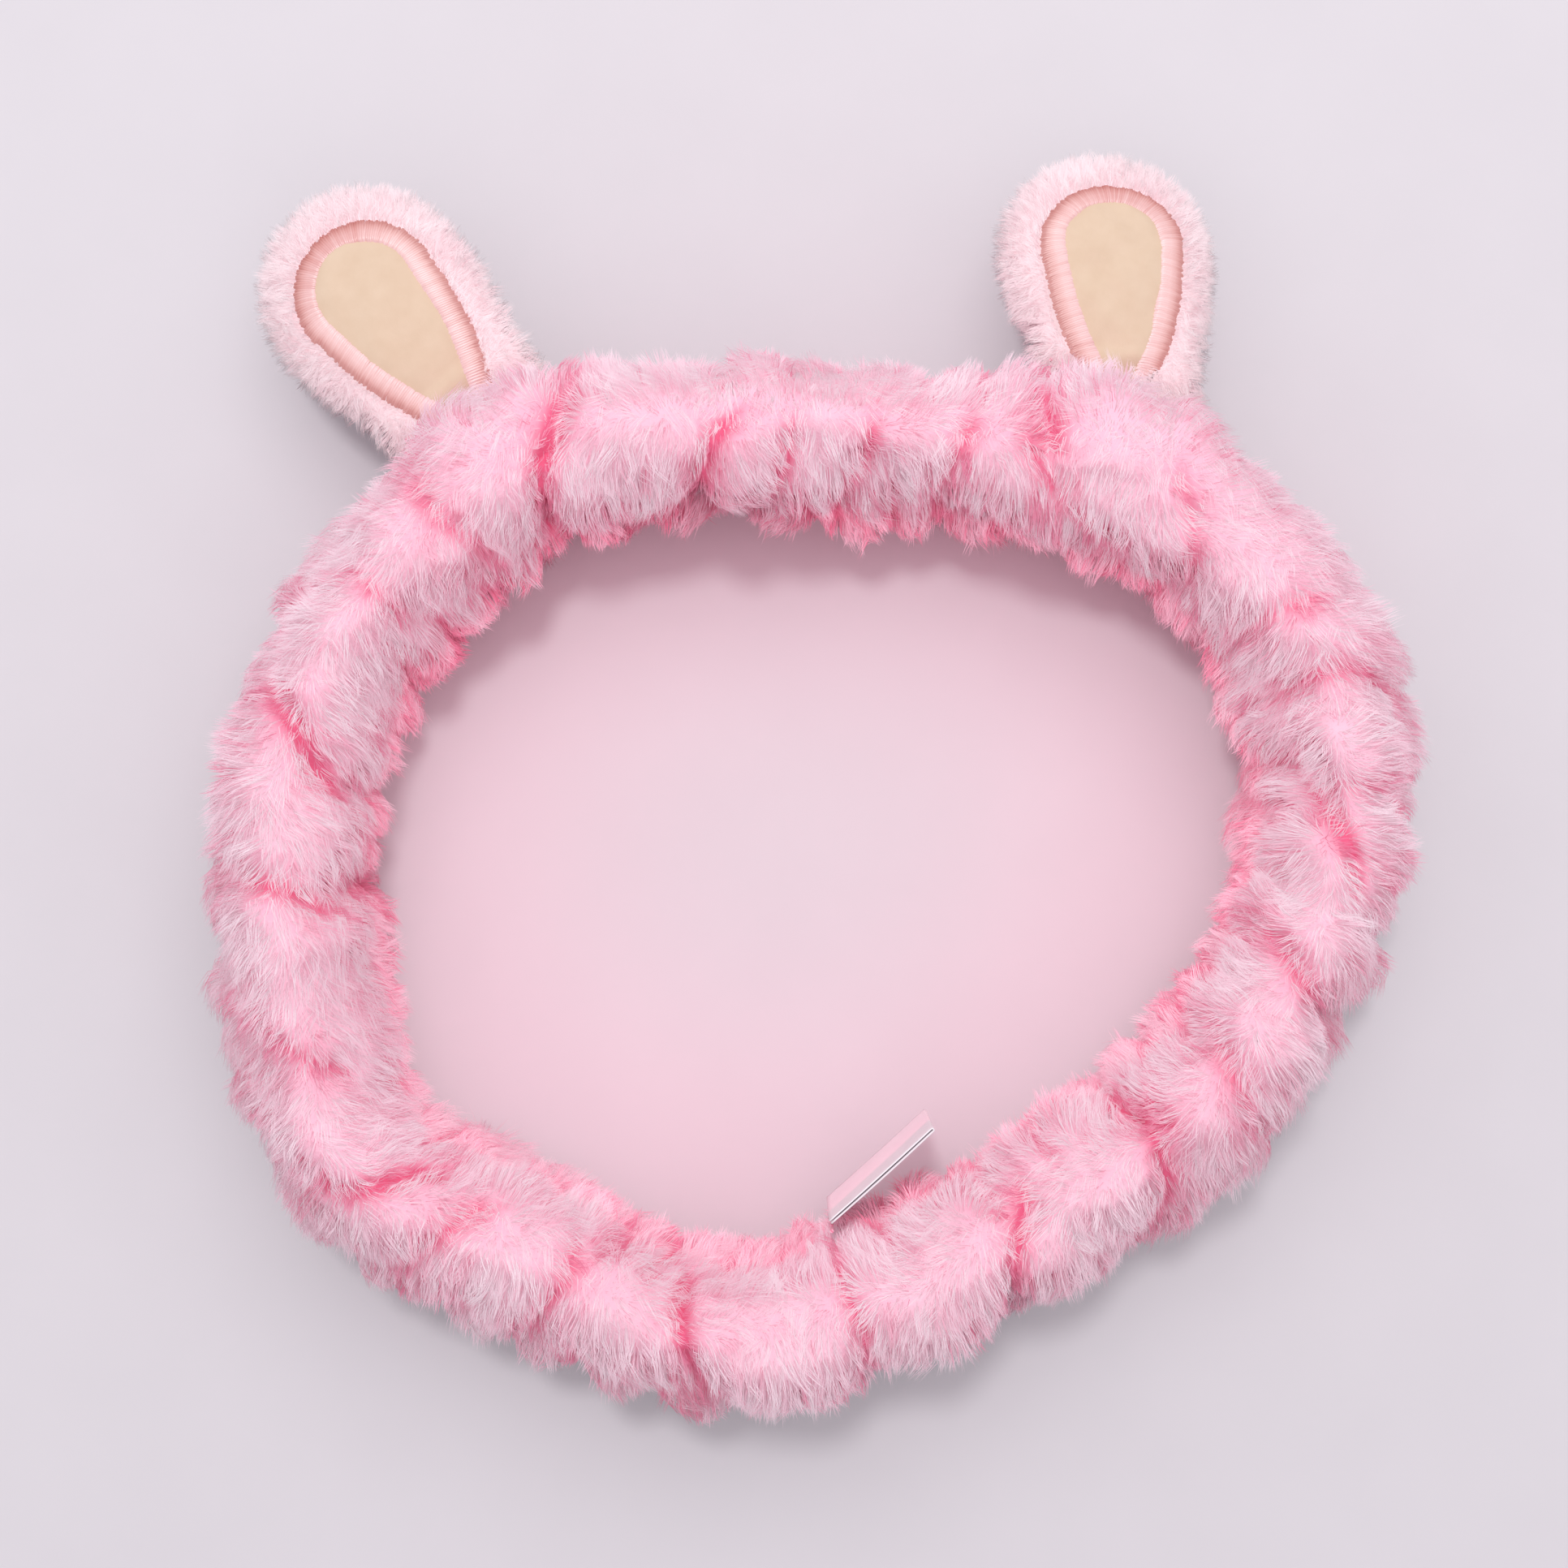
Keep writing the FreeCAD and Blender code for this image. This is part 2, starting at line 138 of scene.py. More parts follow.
# The ears, as in the frame: turn of each from +Y, droop below level, and outline.
EAR_TURNS = {"left": (41.0, 10.0), "right": (3.0, 17.0)}
EAR_REACHES = {"left": 1.0, "right": 0.9}
EAR_LENGTH = 42 * MM
EAR_HALF_WIDTH = 19 * MM
EAR_HALF_THICKNESS = 9 * MM
EAR_WIDEST_AT = 22 * MM
EAR_BASE_HALF_WIDTH = 15.5 * MM
EAR_BASE_HALF_THICKNESS = 5.2 * MM
EAR_TUCK = 12 * MM
EAR_DIP = 5 * MM
ROLL_SHARE = 0.76
EAR_FAN_LENGTH = 18 * MM
EDGE_STITCHES = 20
EDGE_STITCH_INSET = 2 * MM
EDGE_STITCH_REACH = 3 * MM

# Layers of an ear, each as (share of the thickness, inset of the outline).
EAR_BACKING = (0.74, 3.6 * MM)
PATCH_LAYER = (0.82, 1.2 * MM)
PATCH_RADIUS = 8.0 * MM
PATCH_TOP_AT = 28.5 * MM
PATCH_CENTRE_AT = PATCH_TOP_AT - PATCH_RADIUS
PATCH_FOOT_AT = -4.5 * MM
PATCH_FOOT_HALF_WIDTH = 1.8 * MM
PATCH_SIDE_BOW = 1.2 * MM
BORDER_WIDTH = 3.7 * MM
THREAD_PITCH = 0.37 * MM
THREAD_RADIUS = 0.26 * MM
THREAD_ROUNDNESS = 0.9
EAR_PILE_LENGTH = 4.2 * MM
EAR_STRANDS = 34000

# The tube's long seam, inside its head-side wall.
SEAM_INSET = 6.1 * MM
SEAM_PITCH = 4.6 * MM
SEAM_STITCH = 3.2 * MM

# The plain, soft studio.
FLOOR_SIZE = 3.0
BOUNCE_LIGHTS = 16
BOUNCE_GAP = 10 * MM
BOUNCE_HEIGHT = 32 * MM
BOUNCE_POWER = 0.0011

QUICK_SHARE = 1.0


def srgb(red, green, blue):
    """A colour as the shaders take it, from its usual 0 to 255 numbers."""
    linear = []
    for value in (red, green, blue):
        share = value / 255
        linear.append(share / 12.92 if share <= 0.04045 else ((share + 0.055) / 1.055) ** 2.4)
    return (*linear, 1.0)


# ---------------------------------------------------------------- materials

def new_material(name, roughness, sheen=0.0, specular=0.3):
    """A material with one Principled shader, and its node tree."""
    material = bpy.data.materials.new(name)
    material.use_nodes = True
    tree = material.node_tree
    shader = tree.nodes["Principled BSDF"]
    shader.inputs["Roughness"].default_value = roughness
    shader.inputs["Specular IOR Level"].default_value = specular
    shader.inputs["Sheen Weight"].default_value = sheen
    shader.inputs["Sheen Roughness"].default_value = 0.4
    return material, tree, shader


def colour_ramp(tree, source, stops):
    """A colour ramp from (place, colour) pairs, fed by a socket."""
    ramp = tree.nodes.new("ShaderNodeValToRGB")
    elements = ramp.color_ramp.elements
    while len(elements) < len(stops):
        elements.new(0.5)
    for element, (place, colour) in zip(elements, stops, strict=True):
        element.position = place
        element.color = colour
    tree.links.new(source, ramp.inputs["Fac"])
    return ramp.outputs["Color"]


def base_colour(tree, shader, source, stops):
    """A shader's base colour, from a socket through a colour ramp."""
    tree.links.new(colour_ramp(tree, source, stops), shader.inputs["Base Color"])


def noise_value(tree, scale):
    """Noise over the object's own coordinates."""
    where = tree.nodes.new("ShaderNodeTexCoord")
    noise = tree.nodes.new("ShaderNodeTexNoise")
    noise.inputs["Scale"].default_value = scale
    noise.inputs["Detail"].default_value = 3.0
    tree.links.new(where.outputs["Object"], noise.inputs["Vector"])
    return noise.outputs["Fac"]


def wave_value(tree, scale, axis, distortion=0.0):
    """Even bands across one axis of the object's own coordinates."""
    where = tree.nodes.new("ShaderNodeTexCoord")
    wave = tree.nodes.new("ShaderNodeTexWave")
    wave.bands_direction = axis
    wave.inputs["Scale"].default_value = scale
    wave.inputs["Distortion"].default_value = distortion
    tree.links.new(where.outputs["Object"], wave.inputs["Vector"])
    return wave.outputs["Fac"]


def add_bump(tree, shader, height, strength, distance):
    """Surface relief from a height socket."""
    bump = tree.nodes.new("ShaderNodeBump")
    bump.inputs["Strength"].default_value = strength
    bump.inputs["Distance"].default_value = distance
    tree.links.new(height, bump.inputs["Height"])
    tree.links.new(bump.outputs["Normal"], shader.inputs["Normal"])


def fibre_material(name, stops, tints, roughness, sheen, specular=0.2):
    """Fibres: colour by height along each one, and by its own tint, from the fibre map."""
    material, tree, shader = new_material(name, roughness, sheen, specular)
    fibre_map = tree.nodes.new("ShaderNodeUVMap")
    fibre_map.uv_map = FIBRE_MAP
    parts = tree.nodes.new("ShaderNodeSeparateXYZ")
    tree.links.new(fibre_map.outputs["UV"], parts.inputs["Vector"])
    height = colour_ramp(tree, parts.outputs["Y"], stops)
    tint = colour_ramp(tree, parts.outputs["X"], tints)
    mix = tree.nodes.new("ShaderNodeMix")
    mix.data_type = "RGBA"
    mix.blend_type = "MULTIPLY"
    mix.inputs["Factor"].default_value = 1.0
    tree.links.new(height, mix.inputs["A"])
    tree.links.new(tint, mix.inputs["B"])
    tree.links.new(mix.outputs["Result"], shader.inputs["Base Color"])
    return material


def cloth_material(name, low, high, scale, roughness, sheen, bump):
    """Woven or knitted backing: mottled colour with fine relief."""
    material, tree, shader = new_material(name, roughness, sheen)
    mottle = noise_value(tree, scale)
    base_colour(tree, shader, mottle, [(0.3, low), (0.7, high)])
    add_bump(tree, shader, noise_value(tree, scale * 9), 0.5, bump)
    return material


def gathered_material():
    """The band's backing: pale on its lobes, with painted shade in deep pink down in its folds."""
    material, tree, shader = new_material("band_plush_backing", 0.9, 0.1)
    fold = tree.nodes.new("ShaderNodeAttribute")
    fold.attribute_name = FOLD_SHARE
    mottle = noise_value(tree, 220)
    mixed = tree.nodes.new("ShaderNodeMath")
    mixed.operation = "MULTIPLY_ADD"
    mixed.inputs[1].default_value = 0.12
    tree.links.new(mottle, mixed.inputs[0])
    tree.links.new(fold.outputs["Fac"], mixed.inputs[2])
    # Painted shade: the deeper the fold share, the deeper the pink, standing for the shade down in
    # the folds.
    stops = [(0.0, srgb(246, 204, 219)), (0.35, srgb(244, 186, 206)), (1.0, srgb(228, 104, 140))]
    base_colour(tree, shader, mixed.outputs[0], stops)
    add_bump(tree, shader, noise_value(tree, 1900), 0.5, 0.3 * MM)
    return material


def thread_material(name, low, high):
    """Sewing thread: fine twisted bands."""
    material, tree, shader = new_material(name, 0.45, 0.2, 0.5)
    twist = wave_value(tree, 900, "DIAGONAL", 1.5)
    base_colour(tree, shader, twist, [(0.2, low), (0.8, high)])
    add_bump(tree, shader, twist, 0.6, 0.1 * MM)
    return material


def elastic_material():
    """Knitted elastic: ribs along it, crossed by fine rows."""
    material, tree, shader = new_material("elastic_knit", 0.7, 0.3)
    ribs = wave_value(tree, 260, "Z", 0.6)
    rows = wave_value(tree, 420, "DIAGONAL", 1.0)
    both = tree.nodes.new("ShaderNodeMath")
    both.operation = "MULTIPLY"
    tree.links.new(ribs, both.inputs[0])
    tree.links.new(rows, both.inputs[1])
    stops = [(0.0, srgb(214, 208, 204)), (1.0, srgb(248, 245, 240))]
    base_colour(tree, shader, both.outputs[0], stops)
    add_bump(tree, shader, both.outputs[0], 0.7, 0.2 * MM)
    return material


def ribbon_material():
    """White woven label ribbon, with fine ribs across it."""
    material, tree, shader = new_material("label_ribbon_weave", 0.5, 0.15, 0.4)
    ribs = wave_value(tree, 900, "Z", 0.4)
    mottle = noise_value(tree, 60)
    stops = [(0.2, srgb(236, 226, 231)), (0.8, srgb(243, 235, 239))]
    base_colour(tree, shader, mottle, stops)
    add_bump(tree, shader, ribs, 0.35, 0.05 * MM)
    return material


def paper_material():
    """The pale paper that the headband stands on."""
    material, tree, shader = new_material("pale_paper", 0.8, 0.0, 0.2)
    stops = [(0.3, srgb(211, 206, 211)), (0.7, srgb(213, 208, 213))]
    base_colour(tree, shader, noise_value(tree, 40), stops)
    add_bump(tree, shader, noise_value(tree, 900), 0.05, 0.05 * MM)
    return material


FIBRE_MAP = "OFBake"
FOLD_SHARE = "fold_share"

# The band fibres' tint ramp: its deep pink low end carries painted shade from the folds and from
# facing away from the key light; the rest of the tint is random tone.
BAND_FIBRES = fibre_material(
    "band_plush_fibres",
    [(0.0, srgb(238, 197, 211)), (0.4, srgb(239, 213, 223)), (1.0, srgb(241, 226, 233))],
    [(0.0, srgb(246, 154, 182)), (0.4, srgb(254, 230, 238)), (1.0, srgb(255, 252, 253))],
    0.75, 0.1)
EAR_FIBRES = fibre_material(
    "ear_plush_fibres",
    [(0.0, srgb(243, 218, 223)), (0.4, srgb(246, 229, 233)), (1.0, srgb(249, 237, 240))],
    [(0.0, srgb(252, 238, 241)), (1.0, srgb(255, 254, 254))],
    0.75, 0.1)
# Painted sheen and shade on the satin threads: lighter on the border's inner side, darker towards
# its outer edge.
SATIN_FIBRES = fibre_material(
    "satin_thread_painted_sheen_and_shade",
    [(0.0, srgb(236, 200, 200)), (0.45, srgb(234, 194, 193)), (0.66, srgb(224, 176, 173)),
     (0.84, srgb(206, 148, 144)), (1.0, srgb(203, 144, 140))],
    [(0.0, srgb(232, 200, 196)), (1.0, srgb(255, 255, 255))],
    0.32, 0.0, 0.6)
BAND_BACKING = gathered_material()
EAR_BACKING_CLOTH = cloth_material(
    "ear_plush_backing", srgb(242, 218, 223), srgb(246, 226, 230), 240, 0.9, 0.3, 0.3 * MM)
VELOUR = cloth_material(
    "inner_ear_velour", srgb(212, 186, 162), srgb(217, 192, 169), 300, 0.9, 0.3, 0.05 * MM)
STUFFING = cloth_material(
    "polyester_stuffing", srgb(236, 236, 236), srgb(252, 252, 252), 120, 0.95, 0.2, 0.8 * MM)
SEWING_THREAD = thread_material("sewing_thread_twist", srgb(228, 120, 150), srgb(246, 170, 194))
ELASTIC = elastic_material()
RIBBON = ribbon_material()


# ---------------------------------------------------------------- meshes

def mesh_object(name, points, faces, material, maps=None):
    """An object from corner positions and face arrays, with each corner's fibre map."""
    mesh = bpy.data.meshes.new(name)
    corners = np.concatenate([rows.ravel() for rows in faces]).astype(np.int32)
    sizes = np.concatenate([np.full(len(rows), rows.shape[1]) for rows in faces])
    starts = np.concatenate([[0], np.cumsum(sizes)[:-1]]).astype(np.int32)
    mesh.vertices.add(len(points))
    mesh.vertices.foreach_set("co", np.asarray(points, np.float32).ravel())
    mesh.loops.add(len(corners))
    mesh.loops.foreach_set("vertex_index", corners)
    mesh.polygons.add(len(sizes))
    mesh.polygons.foreach_set("loop_start", starts)
    mesh.polygons.foreach_set("use_smooth", np.ones(len(sizes), bool))
    mesh.update(calc_edges=True)
    if maps is not None:
        layer = mesh.uv_layers.new(name=FIBRE_MAP)
        layer.data.foreach_set("uv", maps[corners].astype(np.float32).ravel())
    mesh.materials.append(material)
    return placed(name, mesh)


def placed(name, data):
    """An object in the scene for a mesh, light or camera."""
    made = bpy.data.objects.new(name, data)
    bpy.context.scene.collection.objects.link(made)
    return made


def redrawn(node, name, matrix, material):
    """A copy of one of the frame's own meshes, taken through a matrix, with its own material."""
    mesh = frame["nodes"][node].data.copy()
    mesh.transform(matrix)
    mesh.materials.clear()
    mesh.materials.append(material)
    return placed(name, mesh)


def grid_faces(rows, columns, close_rows=False, close_columns=False):
    """Quads of a grid of points, which may close on itself either way."""
    i = np.arange(rows if close_rows else rows - 1)
    j = np.arange(columns if close_columns else columns - 1)
    i, j = (part.ravel() for part in np.meshgrid(i, j, indexing="ij"))
    up, across = (i + 1) % rows, (j + 1) % columns
    corners = [i * columns + j, up * columns + j, up * columns + across, i * columns + across]
    return np.stack(corners, 1)


def read_mesh(made):
    """Corner positions, corner normals and triangles of an object's mesh."""
    mesh = made.data
    mesh.calc_loop_triangles()
    points = np.empty(len(mesh.vertices) * 3)
    normals = np.empty(len(mesh.vertices) * 3)
    triangles = np.empty(len(mesh.loop_triangles) * 3, np.int32)
    mesh.vertices.foreach_get("co", points)
    mesh.vertices.foreach_get("normal", normals)
    mesh.loop_triangles.foreach_get("vertices", triangles)
    return points.reshape(-1, 3), normals.reshape(-1, 3), triangles.reshape(-1, 3)


def unit(vectors):
    """Vectors scaled to length one."""
    return vectors / np.maximum(np.linalg.norm(vectors, axis=-1, keepdims=True), 1e-12)


def wander(points, size, seed):
    """Smooth random vectors over space, from a few waves of about one size."""
    rng = np.random.default_rng(seed)
    total = np.zeros((len(points), 3))
    for _ in range(10):
        direction = unit(rng.normal(size=3))
        wave = 2 * math.pi / (size * rng.uniform(0.7, 1.6))
        phase = rng.uniform(0, 2 * math.pi)
        total += np.sin(points @ direction * wave + phase)[:, None] * rng.normal(size=3)
    return total / math.sqrt(10)


def apply_modifiers(made):
    """Gives an object the mesh that its modifiers make, and removes them."""
    graph = bpy.context.evaluated_depsgraph_get()
    mesh = bpy.data.meshes.new_from_object(made.evaluated_get(graph), depsgraph=graph)
    made.modifiers.clear()
    made.data = mesh
    return made


def puff(made, held, cap):
    """Swells an object as cloth under pressure, with its held points fixed, up to cap from rest."""
    before = read_mesh(made)[0]
    group = made.vertex_groups.new(name="held")
    for weight in np.unique(np.round(held, 1)):
        chosen = np.flatnonzero(np.round(held, 1) == weight)
        group.add([int(i) for i in chosen], float(weight), "REPLACE")
    cloth = made.modifiers.new("puff", "CLOTH")
    cloth.settings.vertex_group_mass = "held"
    cloth.settings.use_pressure = True
    cloth.settings.uniform_pressure_force = PUFF_PRESSURE
    cloth.settings.effector_weights.gravity = 0
    cloth.settings.quality = 4
    scene = bpy.context.scene
    scene.frame_start = 1
    scene.frame_end = PUFF_FRAMES
    for moment in range(1, PUFF_FRAMES + 1):
        scene.frame_set(moment)
    apply_modifiers(made)
    after = read_mesh(made)[0]
    move = after - before
    far = np.linalg.norm(move, axis=1, keepdims=True)
    move *= np.minimum(1, cap / np.maximum(far, 1e-9))
    made.data.vertices.foreach_set("co", (before + move).astype(np.float32).ravel())
    made.data.update()
    made.vertex_groups.clear()
    scene.frame_set(1)
    return made


def subdivided(made):
    """One round of smooth subdivision, applied."""
    finer = made.modifiers.new("finer", "SUBSURF")
    finer.levels = 1
    finer.render_levels = 1
    return apply_modifiers(made)


# ---------------------------------------------------------------- pile

def scatter(made, count, rng, share=None):
    """Random places on an object's surface with their normals, thinned by a share."""
    points, normals, triangles = read_mesh(made)
    a, b, c = (points[triangles[:, i]] for i in range(3))
    area = np.linalg.norm(np.cross(b - a, c - a), axis=1) / 2
    if share is not None:
        area = area * share[triangles].mean(1)
    chosen = rng.choice(len(triangles), int(count), p=area / area.sum())
    first, second = rng.random((2, int(count)))
    flip = first + second > 1
    first[flip], second[flip] = 1 - first[flip], 1 - second[flip]
    weights = np.stack([1 - first - second, first, second], 1)[:, :, None]
    corners = triangles[chosen]
    return (points[corners] * weights).sum(1), unit((normals[corners] * weights).sum(1))


def nearest(guides, points):
    """The index of each point's nearest guide."""
    tree = KDTree(len(guides))
    for i, guide in enumerate(guides):
        tree.insert(guide, i)
    tree.balance()
    return np.array([tree.find(point)[1] for point in points])


def fibres(roots, normals, lean, length, radius, clump, spread, rng, spacing, seed):
    """Root, bend and tip of each fibre, bunched into clumps, with the clumps' own tints."""
    count = len(roots)
    guide_count = max(8, int(count * spacing))
    picked = rng.choice(count, guide_count, replace=False)
    group = nearest(roots[picked], roots)
    own = picked[group]
    jitter = rng.normal(size=(count, 3)) * spread
    clump_lean = lean + rng.normal(size=(count, 3))[own] * spread * 1.6
    heading = unit(normals + clump_lean + jitter)
    reach = length * rng.uniform(0.78, 1.08, count) * rng.uniform(0.88, 1.1, count)[own]
    tips = roots + heading * reach[:, None]
    guide_tips = roots[own] + unit(normals[own] + clump_lean) * reach[own][:, None]
    pull = clump * rng.uniform(0.5, 1.15, count)[:, None]
    meeting = guide_tips + (roots - roots[own]) * 0.15
    tips = tips + (meeting - tips) * np.minimum(pull, 0.95)
    rise = roots + unit(normals + lean * 0.45 + jitter * 0.5) * (reach * 0.5)[:, None]
    bends = rise + (meeting - guide_tips + tips - (roots + heading * reach[:, None])) * 0.22
    tint = np.clip(
        0.45 + 0.2 * rng.normal(size=count)[own] + 0.12 * rng.normal(size=count)
        + 0.16 * wander(roots, 16 * MM, seed)[:, 0], 0.02, 0.98)
    return roots, bends, tips, tint, radius * rng.uniform(0.8, 1.2, count), normals


def spikes(name, roots, bends, tips, tint, radius, normals, material):
    """One closed, three-sided, bent and tapered spike for each fibre, as one object.

    Each has its flat side outwards. Its shading direction is mostly that of the surface that it
    grows on, turned upwards on the sides, as dense pile lets light through from above.
    """
    count = len(roots)
    glowing = normals.copy()
    glowing[:, 2] += FIBRE_GLOW * (1 - np.abs(normals[:, 2]))
    glowing = unit(glowing)
    points = np.empty((count, 7, 3))
    facing = np.empty((count, 7, 3))
    level = unit(np.cross(tips - roots, normals + 0.12 * np.roll(normals, 1, 1)))
    halves = ((roots, bends - roots, 1), (bends, tips - bends, 0.8))
    for k, (place, reach, width) in enumerate(halves):
        direction = unit(reach)
        side = unit(level - direction * (level * direction).sum(1, keepdims=True))
        over = np.cross(side, direction)
        for corner in range(3):
            angle = math.radians(30 + 120 * corner)
            offset = side * math.cos(angle) * 1.15 + over * math.sin(angle) * 0.7
            points[:, 3 * k + corner] = place + offset * (radius * width)[:, None]
            facing[:, 3 * k + corner] = unit(glowing + offset * FIBRE_ROUNDNESS)
    points[:, 6] = tips
    facing[:, 6] = unit(glowing + over * FIBRE_ROUNDNESS * 0.5)
    base = 7 * np.arange(count)[:, None]
    quads = [base + np.array([[3 + c, 3 + (c + 1) % 3, (c + 1) % 3, c]]) for c in range(3)]
    ends = [base + np.array([[3 + (c + 1) % 3, 3 + c, 6]]) for c in range(3)]
    ends.append(base + np.array([[0, 1, 2]]))
    heights = np.array([0.04, 0.04, 0.04, 0.5, 0.5, 0.5, 0.98])
    maps = np.stack([np.repeat(tint, 7), np.tile(heights, count)], 1)
    made = mesh_object(
        name, points.reshape(-1, 3), [np.concatenate(quads), np.concatenate(ends)], material, maps)
    made.data.normals_split_custom_set_from_vertices(facing.reshape(-1, 3))
    made.visible_shadow = False
    return made


# ---------------------------------------------------------------- the loop

def loop_route(count):
    """Even points of the loop's middle line, where level rays from inside meet the elastic."""
    corners, faces = [], []
    for node in ("elastic_front", "elastic_rear_left", "elastic_rear_right"):
        mesh = frame["nodes"][node].data
        first = len(corners)
        corners += [vertex.co for vertex in mesh.vertices]
        faces += [[first + i for i in face.vertices] for face in mesh.polygons]
    tree = BVHTree.FromPolygons(corners, faces)
    low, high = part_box("cover_front")
    rear_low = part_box("cover_rear")[0]
    level = (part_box("elastic_front")[0].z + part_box("elastic_front")[1].z) / 2
    middle = Vector(((low.x + high.x) / 2, (high.y + rear_low.y) / 2, level))
    met = []
    for i in range(4 * count):
        bearing = 2 * math.pi * i / (4 * count)
        hit = tree.ray_cast(middle, Vector((math.cos(bearing), math.sin(bearing), 0)))[0]
        if hit is not None:
            met.append((hit.x, hit.y))
    line = even_line(np.array(met), 1024)
    waves = np.fft.fft(line[:, 0] + 1j * line[:, 1])
    waves[20:-20] = 0
    smooth = np.fft.ifft(waves)
    line = even_line(np.stack([smooth.real, smooth.imag], 1), count)
    return np.column_stack([line, np.full(count, level)])


def even_line(points, count):
    """A closed line through points, resampled at even steps."""
    closed = np.vstack([points, points[:1]])
    along = np.concatenate([[0], np.cumsum(np.linalg.norm(np.diff(closed, axis=0), axis=1))])
    steps = np.linspace(0, along[-1], count, endpoint=False)
    return np.stack([np.interp(steps, along, closed[:, i]) for i in range(2)], 1)


ROUTE = loop_route(BACKING_RINGS)
STEP = np.linalg.norm(ROUTE[1] - ROUTE[0])
LOOP_LENGTH = STEP * BACKING_RINGS
TANGENT = unit(np.roll(ROUTE, -1, 0) - np.roll(ROUTE, 1, 0))
OUTWARD = np.stack([TANGENT[:, 1], -TANGENT[:, 0], np.zeros(BACKING_RINGS)], 1)
TUBE_HALF_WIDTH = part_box("cover_front")[1].x - ROUTE[:, 0].max()
TUBE_HALF_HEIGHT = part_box("cover_front")[1].z - ROUTE[0, 2]
BACKING_HALF_WIDTH = TUBE_HALF_WIDTH - BACKING_DEPTH
BACKING_HALF_HEIGHT = TUBE_HALF_HEIGHT - BACKING_DEPTH
LOOP_CENTRE = np.array([0.0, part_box("cover_front")[0].y - SPLIT_PAST_CENTRE])


def girth_table():
    """Angle from the top of the tube, outwards, against the distance round it."""
    angles = np.linspace(-math.pi, math.pi, 721)
    x, z = BACKING_HALF_WIDTH * np.sin(angles), BACKING_HALF_HEIGHT * np.cos(angles)
    run = np.concatenate([[0], np.cumsum(np.hypot(np.diff(x), np.diff(z)))])
    return angles, run - run[360]


ANGLES, GIRTH = girth_table()


def crease_lines():
    """Every crease as two ends in (distance along the loop, distance round it), and its size."""
    lines = []
    for start, end, depth, width in CREASES:
        ends = []
        for point in (start, end):
            place = np.array(point) * MM + LOOP_CENTRE
            away = ROUTE[:, :2] - place
            k = int(np.argmin((away ** 2).sum(1)))
            out = float((place - ROUTE[k, :2]) @ OUTWARD[k, :2])
            slant = math.asin(max(-0.97, min(0.97, out / TUBE_HALF_WIDTH)))
            ends.append((k * STEP, float(np.interp(slant, ANGLES, GIRTH))))
        lines.append((*ends, depth * MM, width * MM))
    rng = np.random.default_rng(11)
    for i in range(SIDE_CREASES):
        along = LOOP_LENGTH * (i + rng.uniform(-0.4, 0.4)) / SIDE_CREASES
        side = 1 if i % 2 else -1
        low = side * rng.uniform(13, 22) * MM
        high = low + side * rng.uniform(10, 26) * MM
        high = side * min(abs(high), GIRTH[-1])
        drift = rng.uniform(-6, 6) * MM
        lines.append(((along, low), (along + drift, high), rng.uniform(2, 4.2) * MM,
                      rng.uniform(1.4, 2.4) * MM))
    return lines


CREASE_LINES = crease_lines()


def crease_depth(along, round_it):
    """How far the cloth is drawn in at each place, by all the creases together."""
    drawn = np.zeros_like(along)
    for (s0, w0), (s1, w1), depth, width in CREASE_LINES:
        ds = (s1 - s0 + LOOP_LENGTH / 2) % LOOP_LENGTH - LOOP_LENGTH / 2
        dw = w1 - w0
        length = max(math.hypot(ds, dw), 1e-6)
        x = (along - s0 + LOOP_LENGTH / 2) % LOOP_LENGTH - LOOP_LENGTH / 2
        y = round_it - w0
        run = (x * ds + y * dw) / length
        bow = 1.2 * MM * np.sin(run / (5 * MM) + s0 * 400)
        across = np.abs((x * dw - y * ds) / length + bow)
        beyond = np.maximum(np.maximum(-run, run - length), 0)
        shape = 0.7 * np.exp(-across / width) + 0.3 * np.exp(-across / (3 * width))
        shape *= np.exp(-(beyond / (CREASE_FADE * MM)) ** 2)
        drawn = np.maximum(drawn, depth * shape) + 0.25 * np.minimum(drawn, depth * shape)
    return drawn


def loop_places(points):
    """Where places near the tube lie: distance along and round it, its direction and normal."""
    near = nearest(ROUTE, points)
    away = points - ROUTE[near]
    out, up = (away * OUTWARD[near]).sum(1), away[:, 2]
    turn = np.arctan2(out / BACKING_HALF_WIDTH, up / BACKING_HALF_HEIGHT)
    along = near * STEP + (away * TANGENT[near]).sum(1)
    outward = OUTWARD[near] * (np.sin(turn) / BACKING_HALF_WIDTH)[:, None]
    outward[:, 2] += np.cos(turn) / BACKING_HALF_HEIGHT
    return along, np.interp(turn, ANGLES, GIRTH), TANGENT[near], unit(outward)


